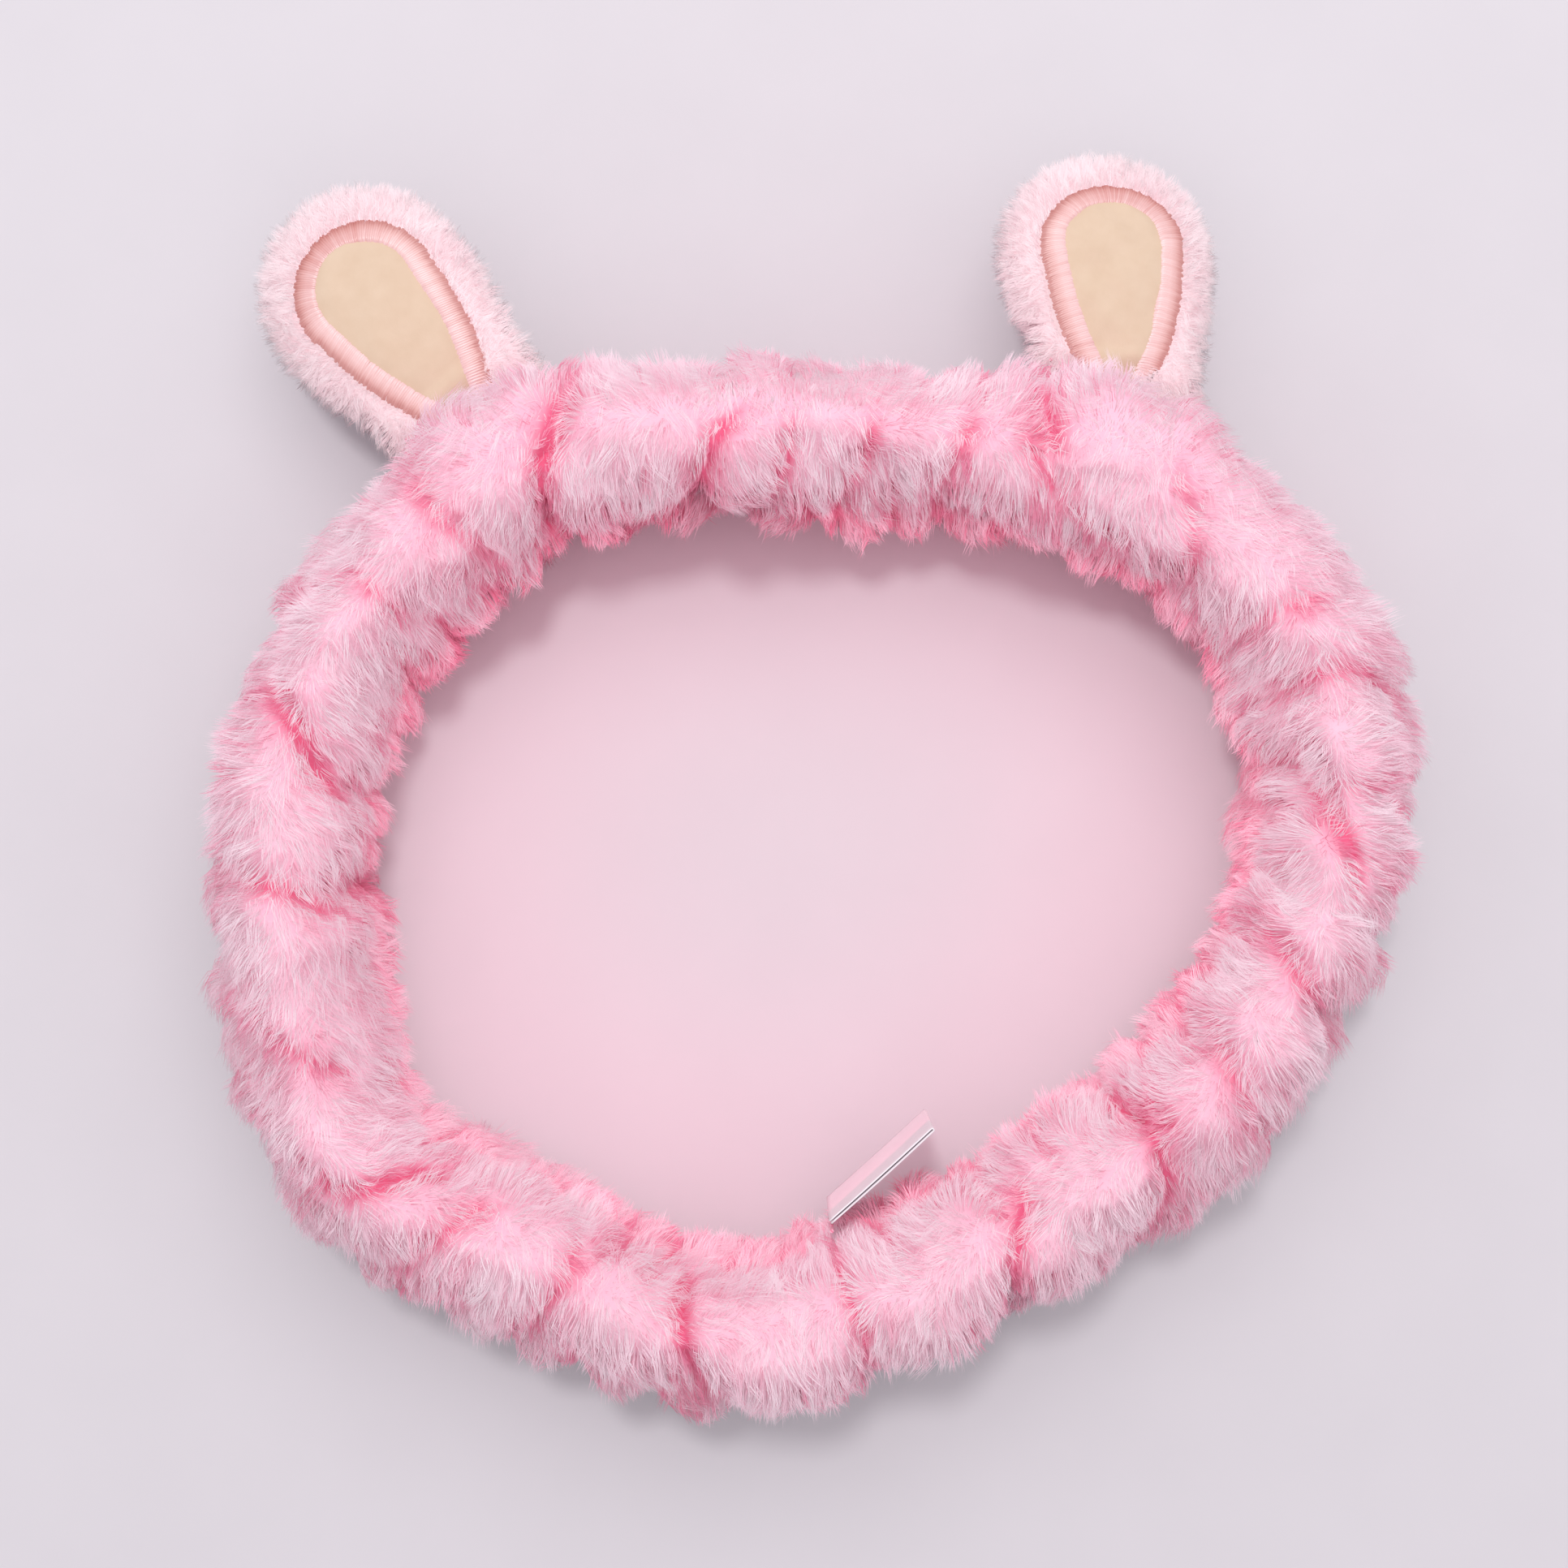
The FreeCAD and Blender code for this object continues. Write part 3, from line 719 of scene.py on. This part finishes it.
def make_backing():
    """The band's gathered, puffed woven backing as one closed tube."""
    steps = np.linspace(GIRTH[0], GIRTH[-1], BACKING_COLUMNS, endpoint=False)
    along = np.repeat(np.arange(BACKING_RINGS) * STEP, BACKING_COLUMNS)
    round_it = np.tile(steps, BACKING_RINGS)
    turns = np.tile(np.interp(steps, GIRTH, ANGLES), BACKING_RINGS)[:, None]
    out = np.repeat(OUTWARD, BACKING_COLUMNS, 0) * np.sin(turns)
    up = np.array([[0, 0, 1.0]]) * np.cos(turns)
    middle = np.repeat(ROUTE, BACKING_COLUMNS, 0)
    points = middle + out * BACKING_HALF_WIDTH + up * BACKING_HALF_HEIGHT
    normals = unit(out / BACKING_HALF_WIDTH + up / BACKING_HALF_HEIGHT)
    lobes = wander(points, LOBE_SIZE, 5)[:, :1] * LOBE_HEIGHT
    tufts = wander(points, TUFT_SIZE, 6)[:, :1] * TUFT_HEIGHT
    drawn = crease_depth(along, round_it)
    brow = np.zeros(len(points))
    for place, size, height in BROWS:
        far = np.linalg.norm(points[:, :2] - np.array(place) * MM, axis=1)
        brow += height * MM * np.exp(-(far / (size * MM)) ** 2)
    brow *= np.exp(-((turns[:, 0] - math.radians(52)) / math.radians(30)) ** 2)
    points = points + normals * (lobes + tufts + brow[:, None] - drawn[:, None])
    points[:, 2] = np.maximum(points[:, 2], UNDERSIDE_HEIGHT)
    faces = grid_faces(BACKING_RINGS, BACKING_COLUMNS, True, True)[:, ::-1]
    made = mesh_object("band_backing", points, [faces], BAND_BACKING)
    held = np.clip(drawn / (3.0 * MM), 0, 1)
    held[points[:, 2] <= UNDERSIDE_HEIGHT + 0.1 * MM] = 1
    puff(made, held, PUFF_CAP)
    subdivided(made)
    return made


def blended(made):
    """Bakes a piece of the band's placement into its mesh."""
    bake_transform(made)
    return made


def make_band():
    """The plush band: its backing and its pile."""
    backing = make_backing()
    points, normals, _ = read_mesh(backing)
    along, round_it, _, _ = loop_places(points)
    # The fold share, stored on the backing for its painted shade in the folds.
    folded = np.clip(crease_depth(along, round_it) / FOLD_DEPTH, 0, 1)
    fold = backing.data.attributes.new(FOLD_SHARE, "FLOAT", "POINT")
    fold.data.foreach_set("value", folded.astype(np.float32))
    share = np.where(points[:, 2] < UNDERSIDE_HEIGHT + 1 * MM, 0.5, 1.0)
    rng = np.random.default_rng(21)
    count = PILE_STRANDS * QUICK_SHARE
    roots, normals = scatter(backing, count, rng, share)
    bearing = np.arctan2(roots[:, 1] - ROUTE[:, 1].mean(), roots[:, 0])
    order = np.argsort(bearing, kind="stable")
    roots, normals = roots[order], normals[order]
    along, round_it, tangent, outward = loop_places(roots)
    drawn = crease_depth(along, round_it)
    folded = np.clip(drawn / FOLD_DEPTH, 0, 1)
    step = 0.3 * MM
    uphill = (drawn - crease_depth(along + step, round_it)) / step
    sideways = (drawn - crease_depth(along, round_it + step)) / step
    parting = uphill[:, None] * tangent - sideways[:, None] * unit(np.cross(normals, tangent))
    normals = unit(normals + outward)
    flow = wander(roots, 30 * MM, 31) * 0.35 + wander(roots, 9 * MM, 32) * 0.15
    flow += np.array(PILE_STROKE)
    lean = flow - normals * (flow * normals).sum(1, keepdims=True)
    lean = unit(lean) * PILE_LEAN + parting * PARTING
    radius = PILE_RADIUS / math.sqrt(QUICK_SHARE)
    length = PILE_LENGTH * (1 - 0.6 * folded)
    clumps = PILE_AREA / CLUMP_SPACING ** 2 / count
    parts = fibres(roots, normals, lean, length, radius, 0.5, 0.15, rng, clumps, 41)
    # Painted shade in the fibres' tint: deeper pink down in the folds and on fibres that face away
    # from the key light.
    shaded = np.clip(0.75 - normals @ unit(np.array([0, 0.35, 1.0])), 0, 1)
    painted_shade = 0.7 * folded ** 1.7 + PILE_SHADE * shaded
    parts[3][:] = np.clip(parts[3] + 0.22 - painted_shade, 0.02, 0.98)
    roots, bends, tips, tint, radius, normals = parts
    ground = 0.25 * MM
    bends[:, 2] = np.maximum(bends[:, 2], ground * 2)
    tips[:, 2] = np.maximum(tips[:, 2], ground)
    for i, chosen in enumerate(np.array_split(np.arange(len(roots)), PILE_PIECES)):
        pile = spikes(
            f"band_pile_{i + 1}", roots[chosen], bends[chosen], tips[chosen], tint[chosen],
            radius[chosen], normals[chosen], BAND_FIBRES)
        blended(pile)
    blended(backing)
    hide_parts("cover_front", "cover_rear")


# ---------------------------------------------------------------- the ears

def ear_sizes(v):
    """Half-width and half-thickness of an ear at distances from its base seam."""
    rest = np.clip(1 - v / EAR_WIDEST_AT, 0, 1) ** 2
    rounding = np.sqrt(np.clip(
        1 - (np.maximum(v - EAR_WIDEST_AT, 0) / (EAR_LENGTH - EAR_WIDEST_AT)) ** 2, 0, 1))
    width = (EAR_HALF_WIDTH - (EAR_HALF_WIDTH - EAR_BASE_HALF_WIDTH) * rest) * rounding
    thickness = EAR_HALF_THICKNESS - (EAR_HALF_THICKNESS - EAR_BASE_HALF_THICKNESS) * rest
    return width, thickness * rounding


def ear_dip(y):
    """How far the base end of an ear bends down into the band's pile."""
    return np.minimum(y, 0) ** 2 / EAR_DIP


def ear_scales(layer):
    """How much a nested layer is scaled across, along and through the ear."""
    share, inset = layer
    return 1 - inset / EAR_HALF_WIDTH, 1 - inset / (EAR_LENGTH - EAR_WIDEST_AT), share


def ear_height(x, y, layer):
    """Height of a layer's front face over the ear's middle plane."""
    across, along, share = ear_scales(layer)
    width, thickness = ear_sizes(EAR_WIDEST_AT + (y - EAR_WIDEST_AT) / along)
    inside = np.clip(1 - (x / across / np.maximum(width, 1e-6)) ** 2, 0, 1)
    return share * thickness * np.sqrt(inside) - ear_dip(y)


def ear_placement(name):
    """The matrix from an ear's own axes to the frame's, and the skew of its base seam."""
    joint = joints[name + "_ear_fold"]
    turn, droop = EAR_TURNS[name]
    axis = Vector(joint["axis"])
    wall_turn = math.degrees(math.atan2(axis.y, axis.x))
    place = Matrix.Translation(Vector(joint["pos_m"]))
    lowered = Matrix.Rotation(math.radians(-droop), 4, axis)
    turned = Matrix.Rotation(math.radians(turn), 4, "Z")
    slumped = Matrix.Diagonal((1, EAR_REACHES[name], 1, 1))
    return place @ lowered @ turned @ slumped, wall_turn - turn


def moved(points, matrix):
    """Points taken through a matrix."""
    table = np.array(matrix)
    return points @ table[:3, :3].T + table[:3, 3]


def teardrop(grow):
    """The inner ear's outline: arc radius and tilt of its ends, shoulder and foot as (x, y)."""
    radius = PATCH_RADIUS + grow
    run = math.hypot(PATCH_CENTRE_AT - PATCH_FOOT_AT, PATCH_RADIUS - PATCH_FOOT_HALF_WIDTH)
    tilt = math.asin((PATCH_RADIUS - PATCH_FOOT_HALF_WIDTH) / run)
    shoulder = (radius * math.cos(tilt), PATCH_CENTRE_AT - radius * math.sin(tilt))
    return radius, tilt, shoulder, (PATCH_FOOT_HALF_WIDTH + grow, PATCH_FOOT_AT)


def teardrop_half_width(y, grow):
    """Half-width of the inner ear's outline at distances from the base seam."""
    radius, _, shoulder, foot = teardrop(grow)
    share = np.clip((y - foot[1]) / (shoulder[1] - foot[1]), 0, 1)
    side = foot[0] + (shoulder[0] - foot[0]) * share
    side = side + PATCH_SIDE_BOW * np.sin(np.pi * share)
    arc = np.sqrt(np.clip(radius ** 2 - (y - PATCH_CENTRE_AT) ** 2, 0, None))
    return np.where(y > shoulder[1], arc, side)


def teardrop_line(grow, spacing):
    """Even points and outward directions along the border, from one foot round to the other."""
    radius, tilt, shoulder, foot = teardrop(grow)
    side = math.hypot(shoulder[0] - foot[0], shoulder[1] - foot[1])
    arc = radius * (math.pi + 2 * tilt)
    count = int((2 * side + arc) / spacing)
    distance = (np.arange(count) + 0.5) * (2 * side + arc) / count
    mirror = np.where(distance > side + arc / 2, -1, 1)
    distance = np.where(mirror < 0, 2 * side + arc - distance, distance)
    share = np.clip(distance / side, 0, 1)
    angle = np.maximum(distance - side, 0) / radius - tilt
    x = foot[0] + (shoulder[0] - foot[0]) * share + PATCH_SIDE_BOW * np.sin(math.pi * share)
    y = foot[1] + (shoulder[1] - foot[1]) * share
    x = np.where(distance < side, x, radius * np.cos(angle))
    y = np.where(distance < side, y, PATCH_CENTRE_AT + radius * np.sin(angle))
    headings = np.stack([mirror * np.cos(angle), np.sin(angle)], 1)
    return np.stack([mirror * x, y], 1), headings


def make_ear_backing(name, matrix, skew):
    """An ear's two plush panels as one closed, puffed shell, drawn in along the sewn border."""
    across, along, share = ear_scales(EAR_BACKING)
    rows, columns = 44, 64
    reach = np.concatenate([
        np.linspace(-EAR_TUCK, EAR_WIDEST_AT, 22, endpoint=False),
        EAR_WIDEST_AT + (EAR_LENGTH - EAR_WIDEST_AT)
        * np.sin(np.linspace(0, math.radians(88.5), 22)),
    ])
    width, thickness = ear_sizes(reach)
    middle = EAR_WIDEST_AT + (reach - EAR_WIDEST_AT) * along
    turn = np.radians(skew) * np.clip(1 - middle / EAR_FAN_LENGTH, 0, 1)
    angle = np.linspace(0, 2 * math.pi, columns, endpoint=False)
    x = (width * across)[:, None] * np.cos(angle)
    z = (thickness * share)[:, None] * np.sin(angle)
    y = middle[:, None] + x * np.sin(turn)[:, None]
    z = z - ear_dip(middle)[:, None]
    x = x * np.cos(turn)[:, None]
    points = np.stack([x, y, z], -1).reshape(-1, 3)
    gap = np.abs(points[:, 0]) - teardrop_half_width(points[:, 1], BORDER_WIDTH / 2)
    near = np.exp(-(gap / (BORDER_WIDTH * 0.75)) ** 2) * (points[:, 2] > 0)
    near *= points[:, 1] < PATCH_TOP_AT + BORDER_WIDTH
    points[:, 2] -= near * 0.5 * MM
    ends = np.array([points[:columns].mean(0), points[-columns:].mean(0)])
    ring = np.arange(columns)
    foot = np.stack([np.full(columns, rows * columns), (ring + 1) % columns, ring], 1)
    last = (rows - 1) * columns
    tip = np.stack([np.full(columns, rows * columns + 1), last + ring,
                    last + (ring + 1) % columns], 1)
    faces = [grid_faces(rows, columns, False, True), foot, tip]
    local = np.concatenate([points, ends])
    made = mesh_object(name + "_ear_backing", local, faces, EAR_BACKING_CLOTH)
    inside = (np.abs(local[:, 0]) < teardrop_half_width(local[:, 1], BORDER_WIDTH))
    inside &= (local[:, 2] > 0) & (local[:, 1] < PATCH_TOP_AT + BORDER_WIDTH)
    held = np.where(inside | (local[:, 1] < 1 * MM), 1.0, 0.0)
    puff(made, held, 1.0 * MM)
    subdivided(made)
    made.data.transform(matrix)
    made.data.update()
    return made


def make_ear_pile(name, backing, matrix):
    """Short pale pile over an ear, everywhere but on its border and inner patch."""
    rng = np.random.default_rng(51 + len(name))
    roots, normals = scatter(backing, EAR_STRANDS * QUICK_SHARE, rng)
    local = moved(roots, matrix.inverted())
    covered = np.abs(local[:, 0]) < teardrop_half_width(local[:, 1], BORDER_WIDTH + 0.1 * MM)
    covered &= (local[:, 2] > 0) & (local[:, 1] < PATCH_TOP_AT + BORDER_WIDTH)
    roots, normals, local = roots[~covered], normals[~covered], local[~covered]
    away = local - np.array([0, PATCH_CENTRE_AT, 0])
    away[:, 2] = 0
    rotation = np.array(matrix)[:3, :3]
    outward = unit(away) @ rotation.T
    lean = outward * 0.42 + wander(roots, 14 * MM, 61 + len(name)) * 0.22
    lean -= normals * (lean * normals).sum(1, keepdims=True)
    length = EAR_PILE_LENGTH * np.where(local[:, 2] > 0, 0.92, 1.0)
    radius = PILE_RADIUS * 0.75 / math.sqrt(QUICK_SHARE)
    parts = fibres(roots, normals, lean, length, radius, 0.4, 0.15, rng, 0.09, 71)
    roots, bends, tips, tint, radius, normals = parts
    pieces = []
    for i, chosen in enumerate(np.array_split(np.arange(len(roots)), 2)):
        piece = spikes(
            f"{name}_ear_pile_{i + 1}", roots[chosen], bends[chosen], tips[chosen],
            tint[chosen], radius[chosen], normals[chosen], EAR_FIBRES)
        pieces.append(piece)
    return pieces


def make_satin(name, matrix):
    """The border's satin stitches: single threads laid side by side over its whole width."""
    rng = np.random.default_rng(81 + len(name))
    places, headings = teardrop_line(BORDER_WIDTH / 2, THREAD_PITCH)
    count, steps, ring = len(places), 11, 6
    u = np.linspace(-1, 1, steps)
    outer = 1 + rng.uniform(-0.10, 0.16, count)
    inner = 1 + rng.uniform(-0.05, 0.06, count)
    stretch = np.where(u[None] > 0, outer[:, None], inner[:, None]) * u[None]
    skew = rng.normal(size=count)[:, None] * 0.06 * MM * u[None]
    tangents = np.stack([-headings[:, 1], headings[:, 0]], 1)
    flat = (places[:, None] + headings[:, None] * (stretch * BORDER_WIDTH / 2)[..., None]
            + tangents[:, None] * skew[..., None])
    rise = 0.42 * MM * (1 - np.abs(u) ** 4)[None] + rng.uniform(-0.03, 0.03, (count, 1)) * MM
    rise = rise - 0.25 * MM * (np.abs(u) > 0.95)[None]
    height = ear_height(flat[..., 0], flat[..., 1], PATCH_LAYER) + rise
    line = np.concatenate([flat, height[..., None]], -1)
    run = unit(np.gradient(line, axis=1))
    side = np.concatenate([tangents, np.zeros((count, 1))], 1)[:, None]
    up = np.cross(run, np.broadcast_to(side, run.shape))
    points = np.empty((count, steps, ring, 3))
    facing = np.empty((count, steps, ring, 3))
    for k in range(ring):
        angle = 2 * math.pi * k / ring
        offset = side * math.cos(angle) + up * math.sin(angle)
        points[:, :, k] = line + offset * THREAD_RADIUS
        facing[:, :, k] = offset * THREAD_ROUNDNESS + np.array([0, 0, 1])
    # Painted sheen: threads running towards the key light, at the top of the border, are darker and
    # those across it, on the sides, lighter; the random part is real tone from thread to thread.
    tint = 0.85 - 0.6 * np.clip(headings[:, 1], 0, 1) ** 1.5
    tint = np.clip(tint + 0.12 * rng.normal(size=count), 0.02, 0.98)
    maps = np.stack([
        np.repeat(tint, steps * ring),
        np.tile(np.repeat((u + 1) / 2 * 0.96 + 0.02, ring), count)], 1)
    made = mesh_object(
        name + "_ear_satin_threads", moved(points.reshape(-1, 3), matrix),
        thread_faces(count, steps, ring), SATIN_FIBRES, maps)
    rotation = np.array(matrix)[:3, :3]
    made.data.normals_split_custom_set_from_vertices(unit(facing.reshape(-1, 3) @ rotation.T))
    made.visible_shadow = False
    return made


def make_patch(name, matrix):
    """The velour inner ear, tucked under the border all round."""
    rows, columns = 60, 28
    y = np.linspace(PATCH_FOOT_AT - 0.3 * MM, PATCH_TOP_AT + 0.55 * MM, rows)
    half = teardrop_half_width(y, 0.7 * MM)
    x = half[:, None] * np.linspace(-1, 1, columns)
    yy = np.repeat(y, columns).reshape(rows, columns)
    share = np.clip(np.abs(x) / np.maximum(half[:, None], 1e-6), 0, 1)
    height = ear_height(x, yy, PATCH_LAYER) + 0.35 * MM * (1 - share ** 4)
    points = np.stack([x, yy, height], -1).reshape(-1, 3)
    points[:, 2] += wander(points, 7 * MM, 91 + len(name))[:, 0] * 0.12 * MM
    made = mesh_object(
        name + "_ear_velour", moved(points, matrix), [grid_faces(rows, columns)[:, ::-1]], VELOUR)
    solid = made.modifiers.new("thickness", "SOLIDIFY")
    solid.thickness = 0.5 * MM
    solid.offset = -1
    apply_modifiers(made)
    return made


def make_edge_thread(name, matrix):
    """The stitches through an ear's two panels, just inside its seam."""
    across, along, _ = ear_scales(EAR_BACKING)
    ring, steps = 6, 7
    run = np.linspace(-1, 1, steps)
    size = (0.28 * MM * np.sqrt(np.clip(1.1 - run ** 4, 0.1, 1)))[:, None]
    turns = 2 * math.pi * np.arange(ring) / ring
    angle = np.radians(np.linspace(-110, 110, EDGE_STITCHES))[:, None, None]
    x = (EAR_HALF_WIDTH * across - EDGE_STITCH_INSET) * np.sin(angle) + size * np.cos(turns)
    y = ((EAR_LENGTH - EAR_WIDEST_AT) * along - EDGE_STITCH_INSET) * np.cos(angle)
    y = EAR_WIDEST_AT + y + size * np.sin(turns)
    z = np.broadcast_to((run * EDGE_STITCH_REACH)[:, None], x.shape)
    points = np.stack([x, y, z], -1).reshape(-1, 3)
    return mesh_object(
        name + "_ear_edge_thread", moved(points, matrix),
        thread_faces(EDGE_STITCHES, steps, ring), SEWING_THREAD)


def slumped_stuffing(name, matrix):
    """An ear's stuffing as in the frame, drawn in as far as the ear itself is."""
    level = matrix @ Matrix.Diagonal((1, 1 / EAR_REACHES[name], 1, 1))
    slump = matrix @ level.inverted()
    return redrawn(name + "_ear_stuffing", name + "_ear_filling", slump, STUFFING)


def thread_faces(count, steps, ring):
    """Faces of closed threads, each a run of steps rings, with a cap at both of its ends."""
    starts = (np.arange(count) * steps * ring)[:, None, None]
    block = grid_faces(steps, ring, False, True)[None, :, ::-1]
    around = np.arange(ring)[None, None]
    first, last = starts + around[..., ::-1], starts + (steps - 1) * ring + around
    return [(block + starts).reshape(-1, 4), np.concatenate([first, last]).reshape(-1, ring)]


def bent_at_base(made):
    """Bakes a piece of an ear's placement into its mesh."""
    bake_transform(made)


def make_ears():
    """Both ears, each laid outwards from the band at its base seam."""
    for name in EAR_TURNS:
        matrix, skew = ear_placement(name)
        backing = make_ear_backing(name, matrix, skew)
        velour = make_patch(name, matrix)
        satin = make_satin(name, matrix)
        thread = make_edge_thread(name, matrix)
        filling = slumped_stuffing(name, matrix)
        for piece, slot, nodes in (
                (backing, "ear_plush", ("front_panel", "back_panel")),
                (velour, "inner_ear_velour", ("inner_patch",)),
                (satin, "satin_thread", ("satin_border",)),
                (thread, "sewing_thread", ("edge_stitches",)),
                (filling, "stuffing", ("stuffing",))):
            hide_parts(*(f"{name}_ear_{node}" for node in nodes))
        for piece in make_ear_pile(name, backing, matrix):
            bent_at_base(piece)
        for piece in (backing, velour, satin, filling):
            bent_at_base(piece)
        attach(thread, name + "_ear")


# ---------------------------------------------------------------- inner and small pieces

def make_label():
    """The blank folded care label: one ribbon, out along one ply and back along the other."""
    joint = joints["care_label_flip"]
    low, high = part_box("care_label")
    root = np.array([joint["pos_m"][0], joint["pos_m"][1]])
    reach = np.array([high.x, high.y]) - root
    length = float(np.linalg.norm(reach)) - 0.3 * MM
    heading = reach / np.linalg.norm(reach)
    side = np.array([-heading[1], heading[0]])
    gap = 0.24 * MM
    along = np.linspace(0.3 * MM, length - gap, 26)
    bow = 0.12 * MM * np.sin(np.pi * along / length)
    turn = np.linspace(-math.pi / 2, math.pi / 2, 9)[1:-1]
    path = [(a, -gap - b) for a, b in zip(along, bow, strict=True)]
    path += [(length - gap + gap * math.cos(t), gap * math.sin(t)) for t in turn]
    path += [(a, gap - 0.6 * b) for a, b in zip(along[::-1], bow[::-1], strict=True)]
    heights = np.linspace(low.z, high.z, 24)
    a, b = (part[:, None, None] for part in np.array(path).T)
    rise = ((heights - low.z) / (high.z - low.z))[None, :, None]
    drift = 0.25 * MM * np.sin(rise * math.pi) * a / length
    flat = root + heading * a + side * (b + drift)
    tall = np.broadcast_to(heights[None, :, None], (*flat.shape[:2], 1))
    rows = np.concatenate([flat, tall], -1).reshape(-1, 3)
    faces = grid_faces(len(path), len(heights))
    made = mesh_object("care_label_ribbon", rows, [faces], RIBBON)
    solid = made.modifiers.new("thickness", "SOLIDIFY")
    solid.thickness = 0.22 * MM
    solid.offset = 0
    apply_modifiers(made)
    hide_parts("care_label")
    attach(made, "label_flap")


def make_elastic():
    """One ring of knitted elastic inside the band."""
    low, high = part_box("elastic_front")
    half_height = (high.z - low.z) / 2
    half_thickness = 0.6 * MM
    section = []
    for k in range(16):
        angle = 2 * math.pi * (k + 0.5) / 16
        flat = [math.copysign(abs(f) ** 0.25, f) for f in (math.cos(angle), math.sin(angle))]
        section.append((flat[0] * half_thickness, flat[1] * half_height))
    section = np.array(section)
    ripple = 0.5 * MM * np.sin(np.arange(BACKING_RINGS) * STEP / (4 * MM))
    points = (ROUTE[:, None] + OUTWARD[:, None] * (section[None, :, :1] + ripple[:, None, None])
              + np.array([0, 0, 1.0]) * section[None, :, 1:])
    made = mesh_object(
        "elastic_ring", points.reshape(-1, 3),
        [grid_faces(BACKING_RINGS, 16, True, True)[:, ::-1]], ELASTIC)
    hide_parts("elastic_front", "elastic_rear_left", "elastic_rear_right")
    blended(made)


def make_seam_thread():
    """Running stitches of the tube's long seam, just inside its head-side wall."""
    count = int(LOOP_LENGTH / SEAM_PITCH)
    ring, steps = 6, 7
    run = np.linspace(0, 1, steps)
    distance = (np.arange(count)[:, None] * LOOP_LENGTH / count + SEAM_STITCH * run) / STEP
    near = distance.astype(int) % BACKING_RINGS
    after = (near + 1) % BACKING_RINGS
    part = (distance % 1)[..., None]
    place = ROUTE[near] * (1 - part) + ROUTE[after] * part
    outward = unit(OUTWARD[near] * (1 - part) + OUTWARD[after] * part)
    size = 0.3 * MM * np.sqrt(np.maximum(0.1, 1 - (2 * run - 1) ** 4))[:, None, None]
    angle = (2 * math.pi * np.arange(ring) / ring)[:, None]
    points = (place[:, :, None] - outward[:, :, None] * (SEAM_INSET + size * np.cos(angle))
              + np.array([0, 0, 1.0]) * size * np.sin(angle))
    made = mesh_object(
        "tube_seam_thread", points.reshape(-1, 3), thread_faces(count, steps, ring), SEWING_THREAD)
    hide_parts("tube_seam_stitches_front", "tube_seam_stitches_rear")
    blended(made)


def make_allowance_pile():
    """Pile on the rolled raw edge that joins each ear to the band."""
    for name in EAR_TURNS:
        joint = joints[name + "_ear_fold"]
        place = Matrix.Translation(Vector(joint["pos_m"]))
        shorten = Matrix.Scale(ROLL_SHARE, 4, Vector(joint["axis"]))
        node = redrawn(
            name + "_ear_seam_allowance", name + "_ear_base_roll",
            place @ shorten @ place.inverted(), EAR_BACKING_CLOTH)
        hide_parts(name + "_ear_seam_allowance")
        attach(node, "front_half")
        rng = np.random.default_rng(101 + len(name))
        roots, normals = scatter(node, 4000 * QUICK_SHARE, rng)
        lean = wander(roots, 8 * MM, 103) * 0.5
        parts = fibres(
            roots, normals, lean, 2.6 * MM, PILE_RADIUS / math.sqrt(QUICK_SHARE), 0.4, 0.2, rng,
            0.12, 104)
        piece = spikes(name + "_ear_base_pile", *parts, EAR_FIBRES)
        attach(piece, "front_half")


def dress_nodes():
    """Thread for the frame's own stitches that stay."""
    for node, made in frame["nodes"].items():
        if "stitches" in node:
            for slot in made.material_slots:
                slot.material = SEWING_THREAD


# ---------------------------------------------------------------- studio

def make_studio():
    """Pale paper, soft light mostly from above the ears, and the camera straight overhead."""
    half = FLOOR_SIZE / 2
    corners = np.array([(-half, -half, 0), (half, -half, 0), (half, half, 0), (-half, half, 0)])
    floor = mesh_object("paper_floor", corners, [np.array([[0, 1, 2, 3]])], paper_material())

    world = bpy.data.worlds.new("pale_room")
    world.use_nodes = True
    background = world.node_tree.nodes["Background"]
    background.inputs["Color"].default_value = (0.97, 0.96, 1.0, 1)
    background.inputs["Strength"].default_value = 0.7
    bpy.context.scene.world = world

    bounces = []
    for k in range(0, BACKING_RINGS, BACKING_RINGS // BOUNCE_LIGHTS):
        place = ROUTE[k] - OUTWARD[k] * (TUBE_HALF_WIDTH + BOUNCE_GAP)
        bounces.append((f"bounce_{k}", (place[0], place[1], BOUNCE_HEIGHT), 0.03, BOUNCE_POWER))
    lights = [
        ("key_light", (-0.08, 0.34, 1.05), 0.14, 3.4),
        ("fill_light", (0.10, 0.50, 1.10), 1.0, 4.8),
    ]
    for name, place, size, power in lights + bounces:
        light = bpy.data.lights.new(name, "AREA")
        light.shape = "DISK"
        light.size = size
        light.energy = power
        light.color = (1.0, 0.985, 0.985) if size > 0.05 else (1.0, 0.12, 0.3)
        lamp = placed(name, light)
        lamp.location = place
        if size > 0.05:
            lamp.rotation_euler = (-Vector(place)).to_track_quat("-Z", "Y").to_euler()
        else:
            lamp.visible_camera = False

    camera = bpy.data.cameras.new("overhead_camera")
    camera.lens = CAMERA_LENS
    camera.sensor_width = 36
    camera.clip_start = 0.01
    holder = placed("overhead_camera", camera)
    holder.location = CAMERA_PLACE
    bpy.context.scene.camera = holder
    bpy.context.scene.view_settings.view_transform = "Standard"


make_studio()
make_band()
make_ears()
make_label()
make_elastic()
make_seam_thread()
make_allowance_pile()
dress_nodes()
